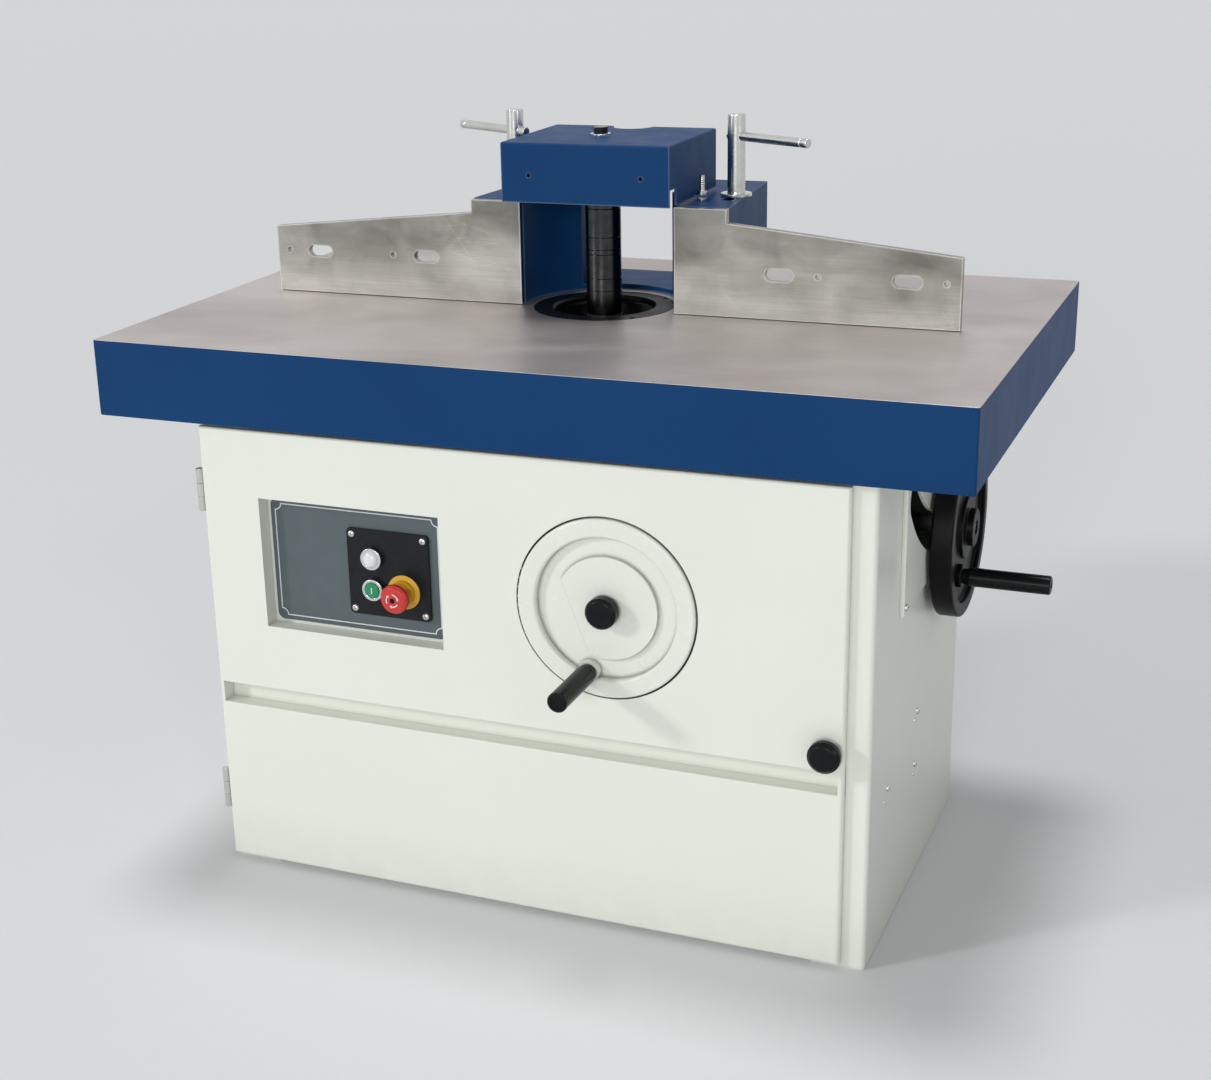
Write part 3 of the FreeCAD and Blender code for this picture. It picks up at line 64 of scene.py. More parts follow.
# %% Camera
FRAME_WIDTH, FRAME_HEIGHT = 1211, 1080
FOCAL_PIXELS = 1930.33
OPTICAL_CENTRE = (547.29, 551.91)
SENSOR_MM = 36.0
VIEW_REACH = 100
CAMERA_PLACE = Vector((0.9635, -2.4023, 1.3360))
LOOK_RIGHT = Vector((0.92126, 0.38807, -0.02592))
LOOK_DOWN = Vector((0.10514, -0.31266, -0.94403))
LOOK_AHEAD = Vector((-0.37446, 0.86697, -0.32884))

lens = bpy.data.cameras.new("photo_view")
lens.sensor_fit = "HORIZONTAL"
lens.sensor_width = SENSOR_MM
lens.lens = FOCAL_PIXELS * SENSOR_MM / FRAME_WIDTH
lens.shift_x = (FRAME_WIDTH / 2 - OPTICAL_CENTRE[0]) / FRAME_WIDTH
lens.shift_y = (OPTICAL_CENTRE[1] - FRAME_HEIGHT / 2) / FRAME_WIDTH
lens.clip_end = VIEW_REACH
camera = bpy.data.objects.new("photo_view", lens)
turn = Matrix((LOOK_RIGHT, -LOOK_DOWN, -LOOK_AHEAD)).transposed().to_4x4()
camera.matrix_world = Matrix.Translation(CAMERA_PLACE) @ turn
scene.collection.objects.link(camera)
scene.camera = camera
scene.view_settings.view_transform = "Standard"
print("lens mm", round(lens.lens, 2))

# %% [markdown]
# Every finish below is a tree of shader nodes, and the repeated fittings are trees of geometry nodes.
# The same helpers serve both: they add a node, set its options and fill its sockets with numbers or links.
# A node often hides sockets that its present mode doesn't use, so only enabled sockets are looked up.


# %% Node helpers
def pick(sockets, label):
    return next(socket for socket in sockets if socket.enabled and socket.name == label)


def fill(tree, socket, value):
    if isinstance(value, bpy.types.NodeSocket):
        tree.links.new(value, socket)
    elif socket.type == "RGBA":
        socket.default_value = (*value, 1)
    else:
        socket.default_value = value


def add(tree, kind, options=None, **values):
    node = tree.nodes.new(kind)
    for key, value in (options or {}).items():
        setattr(node, key, value)
    for key, value in values.items():
        fill(tree, pick(node.inputs, key.replace("_", " ")), value)
    return node


def sums(tree, operation, first, second=0.0, clamp=False):
    """A maths node; its inputs share one name, so they are filled in order."""
    node = add(tree, "ShaderNodeMath", {"operation": operation, "use_clamp": clamp})
    for socket, value in zip(node.inputs, (first, second)):
        fill(tree, socket, value)
    return node.outputs["Value"]


print("node helpers ready")

# %% [markdown]
# Soft light suits glossy paint. Suns with a wide angle light the floor evenly as far as the eye
# reaches: a low one from the front, one from each side, and one from above. Two tall strip lamps give the
# round black parts a bright line to mirror. The sky has two strengths: a plain one that lights the
# machine, and a pale one that the camera and the reflections see, close to the colour of the floor.

# %% Studio
SKY_LIGHT, SKY_COLOUR = 0.34, (0.97, 0.985, 1.0)
PALE = (0.735, 0.745, 0.755)
SUNS = {"front_light": ((0.3, -4.9, 1.6), 0.88, 16), "left_light": ((-3.4, -3.0, 2.7), 0.75, 7),
        "right_light": ((2.9, -3.3, 2.9), 0.10, 7), "top_light": ((-0.5, 0.9, 5.4), 1.10, 14)}
STRIPS = {"left_strip": ((-2.6, -2.2, 1.5), 9), "right_strip": ((2.9, -1.6, 1.5), 4)}
STRIP_SIZE = (0.3, 1.6)
SUN_AIM, STRIP_AIM = (0, 0, 0.6), (0, 0, 0.7)


def aimed(name, light, place, aim):
    lamp = bpy.data.objects.new(name, light)
    way = (Vector(aim) - Vector(place)).to_track_quat("-Z", "Y")
    lamp.matrix_world = Matrix.Translation(place) @ way.to_matrix().to_4x4()
    scene.collection.objects.link(lamp)


for name, (place, strength, spread) in SUNS.items():
    light = bpy.data.lights.new(name, "SUN")
    light.energy, light.angle = strength, math.radians(spread)
    aimed(name, light, place, SUN_AIM)
for name, (place, watts) in STRIPS.items():
    light = bpy.data.lights.new(name, "AREA")
    light.shape = "RECTANGLE"
    light.size, light.size_y = STRIP_SIZE
    light.energy = watts
    aimed(name, light, place, STRIP_AIM)

world = bpy.data.worlds.new("studio_air")
world.use_nodes = True
air = world.node_tree
air.nodes.clear()
rays = add(air, "ShaderNodeLightPath").outputs
seen = sums(air, "ADD", rays["Is Camera Ray"], rays["Is Glossy Ray"])
seen = sums(air, "ADD", seen, rays["Is Transmission Ray"], clamp=True)
both = add(air, "ShaderNodeMixShader", Fac=seen)
fill(air, both.inputs[1], add(air, "ShaderNodeBackground", Color=SKY_COLOUR, Strength=SKY_LIGHT).outputs[0])
fill(air, both.inputs[2], add(air, "ShaderNodeBackground", Color=PALE, Strength=1.0).outputs[0])
add(air, "ShaderNodeOutputWorld", Surface=both.outputs[0])
scene.world = world

FLOOR_HALF = 40.0
floor_mesh = bpy.data.meshes.new("studio_floor")
floor_corners = [(x * FLOOR_HALF, y * FLOOR_HALF, 0) for x, y in ((-1, -1), (1, -1), (1, 1), (-1, 1))]
floor_mesh.from_pydata(floor_corners, [], [(0, 1, 2, 3)])
studio_floor = bpy.data.objects.new("studio_floor", floor_mesh)
scene.collection.objects.link(studio_floor)

# %% [markdown]
# A small class keeps the finishes short. It starts a material with its shader and its Object
# coordinates, which are metres on the machine, and names the steps that every finish needs: a noise, a
# stretched place for brush lines, a soft threshold, a mix of two colours, a weighted sum and a bump.

# %% Finish class
NEARNESS_SAMPLES = 6


class Finish:
    """A material under construction: its tree, its shader and its coordinates."""

    def __init__(self, name, **shader_values):
        self.material = bpy.data.materials.new(name)
        self.material.use_nodes = True
        self.tree = self.material.node_tree
        self.shader = self.tree.nodes["Principled BSDF"]
        for key, value in shader_values.items():
            self.shader.inputs[key.replace("_", " ")].default_value = value
        self.place = self.add("ShaderNodeTexCoord").outputs["Object"]

    def add(self, kind, options=None, **values):
        return add(self.tree, kind, options, **values)

    def height(self):
        return self.add("ShaderNodeSeparateXYZ", Vector=self.place).outputs["Z"]

    def stretched(self, scale, turn=(0, 0, 0)):
        """Coordinates that are turned first and then stretched, which texture mapping does."""
        node = self.add("ShaderNodeMapping", {"vector_type": "TEXTURE"}, Vector=self.place, Rotation=turn,
                        Scale=[1 / factor for factor in scale])
        return node.outputs["Vector"]

    def noise(self, scale, detail=3.0, place=None, distortion=0.0):
        node = self.add("ShaderNodeTexNoise", Vector=place or self.place, Scale=scale, Detail=detail,
                        Distortion=distortion)
        return node.outputs["Fac"]

    def band(self, value, low, high, bottom=0.0, top=1.0):
        node = self.add("ShaderNodeMapRange", {"clamp": True}, Value=value, From_Min=low, From_Max=high,
                        To_Min=bottom, To_Max=top)
        return node.outputs["Result"]

    def mix(self, factor, first, second, kind="RGBA"):
        node = self.add("ShaderNodeMix", {"data_type": kind}, Factor=factor, A=first, B=second)
        return pick(node.outputs, "Result")

    def maths(self, operation, first, second):
        return sums(self.tree, operation, first, second, clamp=True)

    def weighted(self, *pairs):
        """Sum of patterns, each times its weight or a mask."""
        total = None
        for pattern, weight in pairs:
            part = self.maths("MULTIPLY", pattern, weight)
            total = part if total is None else self.maths("ADD", total, part)
        return total

    def nearness(self, reach, inside):
        """Open share of the space within reach. Outside it finds inner corners, inside outer edges."""
        options = {"samples": NEARNESS_SAMPLES, "inside": inside}
        node = self.add("ShaderNodeAmbientOcclusion", options, Distance=reach)
        return node.outputs["AO"]

    def bump(self, height, strength, distance):
        node = self.add("ShaderNodeBump", Height=height, Strength=strength, Distance=distance)
        self.tree.links.new(node.outputs["Normal"], self.shader.inputs["Normal"])

    def set(self, **links):
        for key, socket in links.items():
            self.tree.links.new(socket, self.shader.inputs[key.replace("_", " ")])
        return self.material


print("finish class ready")

# %% [markdown]
# Most of the cabinet is sprayed with off-white enamel. Sprayed paint is never quite flat: it has a fine
# orange-peel ripple, slightly cloudy gloss, and a little dust near the floor. The ripple is a bump from
# fine noise, and the dust is a mask that fades with height. A short ambient occlusion outside the sheet
# darkens inner corners, as painted shade with some grime, and one inside the sheet pales outer edges as a
# painted highlight.

# %% Sprayed paint
DUST = (0.52, 0.50, 0.45)
DUST_HEIGHT = 0.10
# Colour laid into inner corners: painted shade, with some grime.
GRIME_AND_SHADE = (0.11, 0.11, 0.10)
CORNER_SHADE_REACH, HIGHLIGHT_REACH = 6 * MM, 2.2 * MM
# Each pair is the stretch of openness or of noise over which a finish changes.
CORNER_SHADE_BAND, HIGHLIGHT_BAND = (0.50, 0.92), (0.60, 0.95)
TONE_BAND, GLOSS_BAND = (0.35, 0.7), (0.3, 0.7)
RIPPLE_SCALE, RIPPLE_STRENGTH, RIPPLE_DEPTH = 620.0, 0.08, 0.5 * MM


def sprayed_paint(name, colour, shade, gloss, dusty=0.0, grime_and_shade=0.0, mirror=0.5, edge=None):
    paint = Finish(name, Specular_IOR_Level=mirror)
    body = paint.mix(paint.band(paint.noise(4.0, 4.0), *TONE_BAND, 0.0, 0.6), colour, shade)
    low = paint.band(paint.height(), 0.0, DUST_HEIGHT, dusty, 0.0)
    body = paint.mix(paint.maths("MULTIPLY", low, paint.noise(30.0, 6.0)), body, DUST)
    # Inner corners are darkened by ambient occlusion: painted shade, with some grime.
    if grime_and_shade:
        corner = paint.nearness(CORNER_SHADE_REACH, False)
        body = paint.mix(paint.band(corner, *CORNER_SHADE_BAND, grime_and_shade, 0.0), body, GRIME_AND_SHADE)
    # Outer edges are lightened: a painted highlight.
    if edge:
        rim = paint.nearness(HIGHLIGHT_REACH, True)
        body = paint.mix(paint.band(rim, *HIGHLIGHT_BAND, 0.75, 0.0), body, edge)
    rough = paint.band(paint.noise(18.0, 5.0), *GLOSS_BAND, gloss - 0.04, gloss + 0.06)
    paint.bump(paint.noise(RIPPLE_SCALE, 2.0), RIPPLE_STRENGTH, RIPPLE_DEPTH)
    return paint.set(Base_Color=body, Roughness=rough)


NAVY, NAVY_SHADE = (0.0045, 0.043, 0.142), (0.0065, 0.050, 0.156)
# Pale colour for the outer edges of the navy paint: a painted highlight.
NAVY_HIGHLIGHT = (0.12, 0.18, 0.30)
ENAMEL = (0.785, 0.81, 0.735)
cabinet_enamel = sprayed_paint("cabinet_enamel", ENAMEL, (0.76, 0.785, 0.71), 0.34, dusty=0.35, grime_and_shade=0.22)
wheel_enamel = sprayed_paint("wheel_enamel", ENAMEL, (0.75, 0.78, 0.705), 0.26, grime_and_shade=0.6)
navy_enamel = sprayed_paint("navy_enamel", NAVY, NAVY_SHADE, 0.46, mirror=0.10, edge=NAVY_HIGHLIGHT)
BLACK, BLACK_SHADE = (0.003, 0.003, 0.0034), (0.005, 0.005, 0.0055)
black_enamel = sprayed_paint("black_enamel", BLACK, BLACK_SHADE, 0.40, mirror=0.12)
print("paints ready")

# %% [markdown]
# The table is one casting with three finishes. Splitting the mesh would make seams, so one material asks
# each point where it is. Points on the top plane get bare iron with fine grinding lines along the table
# and cloudy stains, the outer sides get the navy paint, and what lies within them, under the table and in
# its opening, keeps the foundry's grey primer.

# %% Ground table top
TABLE_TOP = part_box("table")[1][2]
PAINT_LINE = TABLE_TOP - 0.5 * MM
PAINT_DEPTH = 3 * MM
PRIMER, PRIMER_SHADE = (0.10, 0.105, 0.11), (0.075, 0.08, 0.085)


def within_sides(finish, node):
    """One for points that lie further inside the node's upright sides than its paint reaches."""
    place = finish.add("ShaderNodeSeparateXYZ", Vector=finish.place).outputs
    inside = 1.0
    for axis, low, high in zip("XY", *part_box(node)):
        for test, limit in (("GREATER_THAN", low + PAINT_DEPTH), ("LESS_THAN", high - PAINT_DEPTH)):
            inside = finish.maths("MULTIPLY", finish.maths(test, place[axis], limit), inside)
    return inside


def ground_table():
    iron = Finish("ground_table", Specular_IOR_Level=0.10)
    on_top = iron.maths("GREATER_THAN", iron.height(), PAINT_LINE)
    lines = iron.noise(1.0, 3.0, iron.stretched((7, 700, 7)))
    cloud = iron.noise(5.0, 6.0, distortion=0.5)
    smear = iron.noise(2.6, 5.0, iron.stretched((1.2, 3.4, 1.0), (0, 0, 0.35)), 0.4)
    metal = iron.mix(iron.band(cloud, 0.32, 0.68), (0.43, 0.385, 0.372), (0.57, 0.525, 0.51))
    metal = iron.mix(iron.band(lines, 0.38, 0.7, 0.0, 0.26), metal, (0.36, 0.325, 0.315))
    stain = iron.maths("MULTIPLY", iron.band(iron.noise(13.0, 8.0, distortion=1.2), 0.60, 0.78),
                       iron.band(smear, 0.5, 0.7, 0.0, 0.12))
    metal = iron.mix(stain, metal, (0.25, 0.18, 0.15))
    patchy = iron.band(iron.noise(4.0, 4.0), *TONE_BAND)
    paint = iron.mix(within_sides(iron, "table"), iron.mix(patchy, NAVY, NAVY_SHADE),
                     iron.mix(patchy, PRIMER, PRIMER_SHADE))
    scuffed = iron.weighted((lines, 0.4), (smear, 0.9))
    rough = iron.mix(on_top, iron.band(iron.noise(18.0, 5.0), *GLOSS_BAND, 0.44, 0.50),
                     iron.band(scuffed, 0.35, 0.95, 0.36, 0.54), "FLOAT")
    ripple = iron.weighted((lines, on_top), (iron.noise(RIPPLE_SCALE, 2.0), 0.4))
    iron.bump(ripple, RIPPLE_STRENGTH, RIPPLE_DEPTH)
    return iron.set(Base_Color=iron.mix(on_top, paint, metal), Roughness=rough, Metallic=on_top)


table_finish = ground_table()
casting_primer = sprayed_paint("casting_primer", PRIMER, PRIMER_SHADE, 0.55)
print("table top at", round(TABLE_TOP, 4))

# %% [markdown]
# The fence plates are bare, worn metal. Their lower half is made brighter, partly as the rub of boards
# sliding along it and partly as a painted reflection, while the upper half stays dull. Handling leaves
# smoky streaks and a few fine scratches, and the edges get a pale painted highlight. Height gives the
# brighter zone, noise stretched along the plate gives the streaks, a broad noise lets scratches show only
# here and there, and a short ambient occlusion taken inside finds the edges.

# %% Worn fence plates
RUB_AND_REFLECTION_FULL, RUB_AND_REFLECTION_TOP = 0.02, 0.11
# Pale colour for the scratches, and for the painted highlight on the plate edges.
SCRATCH_AND_HIGHLIGHT = (0.82, 0.81, 0.77)
SCRATCH_LEANS = ((0.30, 260.0), (-0.16, 320.0), (0.95, 420.0))


def worn_plate():
    plate = Finish("worn_plate", Metallic=1.0)
    # Brighter towards the table: partly rubbed wear, partly a painted reflection.
    rubbed_and_reflection = plate.band(plate.height(), TABLE_TOP + RUB_AND_REFLECTION_FULL, TABLE_TOP + RUB_AND_REFLECTION_TOP, 1.0, 0.0)
    streak = plate.noise(9.0, 8.0, plate.stretched((0.45, 1.0, 1.6), (0, 0.12, 0)), 0.35)
    grain = plate.noise(1.0, 3.0, plate.stretched((9, 9, 520)))
    smoke = plate.noise(15.0, 7.0, distortion=0.7)
    tone = plate.weighted((streak, 0.42), (smoke, 0.38), (rubbed_and_reflection, 0.20))
    colour = plate.mix(plate.band(tone, 0.32, 0.66), (0.20, 0.195, 0.172), (0.57, 0.565, 0.52))
    colour = plate.mix(plate.band(grain, 0.35, 0.70, 0.0, 0.26), colour, (0.25, 0.245, 0.22))
    patch = plate.band(plate.noise(7.0, 2.0), 0.50, 0.62)
    scratches = [plate.noise(1.0, 1.0, plate.stretched((5.0, 1.0, pitch), (0, lean, 0)))
                 for lean, pitch in SCRATCH_LEANS]
    marks = plate.weighted(*[(plate.band(scratch, 0.66, 0.71), patch) for scratch in scratches])
    colour = plate.mix(plate.maths("MULTIPLY", marks, 0.28), colour, SCRATCH_AND_HIGHLIGHT)
    # Pale outer edges: a painted highlight.
    rim = plate.nearness(HIGHLIGHT_REACH, True)
    colour = plate.mix(plate.band(rim, *HIGHLIGHT_BAND, 0.6, 0.0), colour, SCRATCH_AND_HIGHLIGHT)
    worn = plate.weighted((streak, 0.7), (grain, 0.3))
    plate.bump(plate.maths("SUBTRACT", grain, plate.maths("MULTIPLY", marks, 0.5)), 0.10, 0.0004)
    return plate.set(Base_Color=colour, Roughness=plate.band(worn, 0.3, 0.75, 0.26, 0.48))


fence_metal = worn_plate()
print("fence metal ready")

# %% [markdown]
# Small metal fittings differ in colour and in how the tool left them. Turned steel has rings round its
# axis, zinc plating is paler and a little blotchy, black oxide keeps a soft sheen. One helper makes them
# all from a colour, a roughness and a stretch for the tool marks.


# %% Fitting metals
def tooled_metal(name, colour, deep, gloss, stretch):
    metal = Finish(name, Metallic=1.0)
    marks = metal.noise(1.0, 2.0, metal.stretched(stretch))
    blot = metal.noise(60.0, 4.0)
    tone = metal.mix(metal.band(blot, *TONE_BAND), colour, deep)
    worn = metal.weighted((marks, 0.4), (blot, 0.6))
    metal.bump(marks, 0.08, 0.0003)
    return metal.set(Base_Color=tone, Roughness=metal.band(worn, *GLOSS_BAND, gloss - 0.05, gloss + 0.10))


turned_steel = tooled_metal("turned_steel", (0.62, 0.62, 0.61), (0.48, 0.48, 0.47), 0.24, (30, 30, 1500))
zinc_plate = tooled_metal("zinc_plate", (0.68, 0.69, 0.66), (0.60, 0.61, 0.58), 0.22, (90, 90, 260))
black_oxide = tooled_metal("black_oxide", (0.062, 0.064, 0.066), (0.040, 0.041, 0.043), 0.20, (40, 40, 1200))
plain_bronze = tooled_metal("plain_bronze", (0.52, 0.34, 0.13), (0.40, 0.25, 0.09), 0.32, (200, 900, 200))
chrome_trim = tooled_metal("chrome_trim", (0.76, 0.77, 0.78), (0.66, 0.67, 0.68), 0.15, (300, 300, 300))
print("fitting metals ready")

# %% [markdown]
# Plastics come last: black grips and knobs with a fine moulded grain, glossy coloured buttons, a milky
# lamp lens, the rubber belt. Grain size and gloss tell them apart more than colour does.


# %% Plastics
def moulded(name, colour, deep, gloss, grain=900.0, relief=0.06, mirror=0.5):
    plastic = Finish(name, Specular_IOR_Level=mirror)
    tone = plastic.mix(plastic.band(plastic.noise(40.0, 4.0), *TONE_BAND), colour, deep)
    plastic.bump(plastic.noise(grain, 2.0), relief, 0.0004)
    rough = plastic.band(plastic.noise(120.0, 3.0), *GLOSS_BAND, gloss - 0.04, gloss + 0.06)
    return plastic.set(Base_Color=tone, Roughness=rough)


black_plastic = moulded("black_plastic", (0.005, 0.0055, 0.006), (0.007, 0.0075, 0.008), 0.22, mirror=0.16)
button_black = moulded("button_black", (0.008, 0.0095, 0.011), (0.011, 0.0125, 0.014), 0.30, 1400.0,
                       mirror=0.22)
panel_grey = moulded("panel_grey", (0.088, 0.114, 0.124), (0.080, 0.104, 0.113), 0.40, 1600.0, 0.04)
start_green = moulded("start_green", (0.012, 0.24, 0.10), (0.016, 0.28, 0.12), 0.20, 700.0, 0.03)
stop_red = moulded("stop_red", (0.55, 0.028, 0.024), (0.61, 0.036, 0.030), 0.26, 700.0, 0.03)
disc_yellow = moulded("disc_yellow", (0.62, 0.34, 0.016), (0.68, 0.39, 0.022), 0.40, 900.0, 0.04)
lamp_white = moulded("lamp_white", (0.80, 0.81, 0.80), (0.72, 0.73, 0.73), 0.16, 500.0, 0.04)
mark_white = moulded("mark_white", (0.70, 0.72, 0.73), (0.62, 0.64, 0.65), 0.45, 1200.0, 0.03)
belt_rubber = moulded("belt_rubber", (0.016, 0.016, 0.016), (0.026, 0.026, 0.026), 0.72, 500.0, 0.2)
floor_finish = moulded("floor_finish", PALE, (0.73, 0.74, 0.75), 0.80, 60.0, 0.01)
floor_mesh.materials.append(floor_finish)
print("plastics ready")

# %% [markdown]
# A solid from CAD has knife edges and loose triangles. Real sheet and cast iron have small rounded edges
# that catch the light. For each node, a copy of its mesh is joined up, its flat triangles are merged,
# its sharp edges get a narrow bevel, and weighted normals keep the large faces flat while the edges
# turn softly. The copy then stands for the node. Modelling each shape again would only lose accuracy.

# %% Soft edges for CAD nodes
BEVEL_FROM = math.radians(30)
SHARP_FROM, TRIM_SHARP = math.radians(42), math.radians(35)
FLAT_WITHIN = math.radians(0.4)
BEVEL_RINGS = 3
RIM_WITHIN = 0.05 * MM
BEND_RADII = {"hood": 2.6, "front_door": 2.4, "fence_housing": 1.8}
behaviour = frame["record"]["behaviour"]
node_body = {node: body for body, members in behaviour["bodies"].items() for node in members}
node_slot = {row["node"]: row["material_slot"] for row in frame["record"]["subparts"]}
WELD = 0.002 * MM


def middle(node):
    low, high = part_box(node)
    return [(a + b) / 2 for a, b in zip(low, high)]


def to_object(name, mesh):
    piece = bpy.data.objects.new(name, mesh)
    scene.collection.objects.link(piece)
    return piece


def opened(mesh):
    work = bmesh.new()
    work.from_mesh(mesh)
    return work


def closed(work, mesh):
    work.to_mesh(mesh)
    work.free()
    return mesh


def built(name, work):
    """Object from a finished working mesh, with its faces turned outwards."""
    bmesh.ops.recalc_face_normals(work, faces=work.faces)
    return to_object(name, closed(work, bpy.data.meshes.new(name)))


def applied(piece):
    """Makes the piece's modifiers real and removes them."""
    bpy.context.view_layer.update()
    graph = bpy.context.evaluated_depsgraph_get()
    mesh = bpy.data.meshes.new_from_object(piece.evaluated_get(graph))
    piece.modifiers.clear()
    piece.data = mesh
    mesh.name = piece.name
    return piece


def shaded(piece, sharp_from=SHARP_FROM):
    """Smooth shading with sharp corners; large faces stay flat."""
    piece.data.shade_smooth()
    piece.data.set_sharp_from_angle(angle=sharp_from)
    weigh = piece.modifiers.new("flat_faces", "WEIGHTED_NORMAL")
    weigh.keep_sharp = True
    return applied(piece)


def beveled(piece, width, bend):
    """Rounds sharp edges by width, and those on the rim of the piece's box by the larger bend radius."""
    places = [vert.co for vert in piece.data.vertices]
    low, high = [[side(place[i] for place in places) for i in range(3)] for side in (min, max)]
    work = opened(piece.data)
    weight = work.edges.layers.float.new("bevel_weight_edge")
    for edge in work.edges:
        if edge.is_manifold and edge.calc_face_angle() > BEVEL_FROM:
            ends = [vert.co for vert in edge.verts]
            walls = sum(any(all(abs(end[i] - side[i]) < RIM_WITHIN for end in ends) for side in (low, high))
                        for i in range(3))
            edge[weight] = 1.0 if walls > 1 else width / bend
    closed(work, piece.data)
    bevel = piece.modifiers.new("soft_edge", "BEVEL")
    bevel.width = bend
    bevel.segments = BEVEL_RINGS
    bevel.limit_method = "WEIGHT"
    return applied(piece)


def settle(piece, finish, body, slot, *stands_for):
    """Gives a finished piece its material and its body, and hides the nodes it stands for; slot is not used.
    """
    piece.data.materials.clear()
    piece.data.materials.append(finish)
    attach(piece, body)
    if stands_for:
        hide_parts(*stands_for)
    return piece


def joined_copy(node):
    work = opened(nodes[node].data)
    bmesh.ops.remove_doubles(work, verts=work.verts, dist=WELD)
    bmesh.ops.dissolve_limit(work, angle_limit=FLAT_WITHIN, verts=work.verts, edges=work.edges)
    return closed(work, bpy.data.meshes.new(node + "_finished"))


def refine(node, finish, edge_mm):
    piece = to_object(node + "_finished", joined_copy(node))
    if edge_mm:
        beveled(piece, edge_mm * MM, BEND_RADII.get(node, edge_mm) * MM)
    return settle(shaded(piece), finish, node_body[node], node_slot[node], node)


print("edge helpers ready")

# %% [markdown]
# Which finish goes where, and how round each edge is, in millimetres. Bent sheet has the softest edges
# because of its bend, ground plates are crisp, and turned parts keep the chamfers of the CAD model.

# %% Dress the CAD nodes
DRESS = {
    cabinet_enamel: {"left_side_wall": 1.2, "right_side_wall": 1.2, "front_door": 0.8, "side_slot_plate": 0.8,
                     "rear_panel": 0.6, "base_pan": 0.8, "front_rail": 0.6, "tilt_stanchion": 0.8},
    table_finish: {"table": 1.0},
    navy_enamel: {"fence_housing": 1.0, "hood": 0.9},
    fence_metal: {"left_fence_plate": 0.6, "right_fence_plate": 0.6},
    wheel_enamel: {"tilt_wheel": 0.8},
    # The table bearers take this dark primer partly as painted shade: they stand in the shadow under the
    # table.
    casting_primer: {"left_trunnion": 1.0, "right_trunnion": 1.0, "tilt_carriage": 0.6, "spindle_slide": 0.6,
                     "motor_body": 0, "table_bearers": 0.8},
    turned_steel: {"spindle_arbor": 0, "spindle_bearings": 0, "lift_shaft": 0, "lift_screw": 0,
                   "tilt_screw": 0, "tilt_nut": 0.6, "motor_plate": 0.6, "motor_pulley": 0,
                   "spindle_pulley": 0, "frame_bolts": 0},
    zinc_plate: {"hinge_fixed_leaves": 0.3, "hinge_door_leaves": 0.3, "hood_studs": 0, "left_clamp_screw": 0,
                 "right_clamp_screw": 0, "left_clamp_bar": 0, "right_clamp_bar": 0},
    black_enamel: {"ring_insert": 0.4},
    black_oxide: {"spacer_rings": 0.9, "spindle_nut": 0.6, "hood_bolt": 0.4,
                  "tilt_grip_bolt": 0, "lift_grip_bolt": 0},
    plain_bronze: {"tilt_bearings": 0},
    black_plastic: {"tilt_grip": 0, "lift_grip": 0, "tilt_lock_knob": 0.8, "latch_knob": 0.8,
                    "contact_blocks": 0.8},
    button_black: {"button_plate": 1.2},
    panel_grey: {"control_plate": 0.3},
    disc_yellow: {"estop_ring": 0.4},
    lamp_white: {"lamp": 0},
    start_green: {"start_button": 0.4},
    stop_red: {"estop_button": 0.6},
    belt_rubber: {"drive_belt": 0.5},
}
dressed = {node: refine(node, finish, edge)
           for finish, members in DRESS.items() for node, edge in members.items()}
print("dressed", len(dressed), "faces", sum(len(piece.data.polygons) for piece in dressed.values()))

# %% [markdown]
# A round hole in a mesh is a ring of flat facets, so a shaft that just fits the true hole cuts through
# the middle of each facet. The stop button's stem slides through two such holes when it is pushed. Making
# the stem a hair thinner gives the facets room, and it stays hidden under the button either way.

# %% Room for the stop button's stem
STEM_RADIUS, STEM_ROOM = 8 * MM, 0.3 * MM
stop_x, _, stop_z = middle("estop_button")
stem_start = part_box("estop_ring")[0][1]
thinned = 0
for vert in dressed["estop_button"].data.vertices:
    spoke = Vector((vert.co.x - stop_x, 0, vert.co.z - stop_z))
    if vert.co.y > stem_start and STEM_RADIUS / 2 < spoke.length < STEM_RADIUS + STEM_ROOM:
        vert.co -= spoke.normalized() * STEM_ROOM
        thinned += 1
print("stem points moved", thinned)

# %% [markdown]
# Shapes that repeat or follow a rule are grown by Geometry Nodes. Three helpers keep the trees short: one
# opens a tree with named inputs, one closes it with real geometry and a material, and one runs it on a
# piece and keeps the result as a plain mesh.


# %% Geometry tree helpers
def new_tree(name, inputs):
    tree = bpy.data.node_groups.new(name, "GeometryNodeTree")
    tree.interface.new_socket("Geometry", in_out="INPUT", socket_type="NodeSocketGeometry")
    for label, kind in inputs.items():
        tree.interface.new_socket(label, in_out="INPUT", socket_type="NodeSocket" + kind)
    tree.interface.new_socket("Geometry", in_out="OUTPUT", socket_type="NodeSocketGeometry")
    return tree, tree.nodes.new("NodeGroupInput").outputs


def close_tree(tree, shape, finish_socket):
    real = add(tree, "GeometryNodeRealizeInstances", Geometry=shape).outputs["Geometry"]
    painted = add(tree, "GeometryNodeSetMaterial", Geometry=real, Material=finish_socket)
    tree.links.new(painted.outputs["Geometry"], tree.nodes.new("NodeGroupOutput").inputs["Geometry"])


def grown(piece, tree, values):
    """Runs a tree on a piece: inputs are set by identifier, then the result becomes a plain mesh."""
    modifier = piece.modifiers.new(tree.name, "NODES")
    modifier.node_group = tree
    for item in tree.interface.items_tree:
        if item.in_out == "INPUT" and item.name in values:
            modifier[item.identifier] = values[item.name]
    return applied(piece)


def vector(tree, **parts):
    return add(tree, "ShaderNodeCombineXYZ", **parts).outputs["Vector"]


print("tree helpers ready")

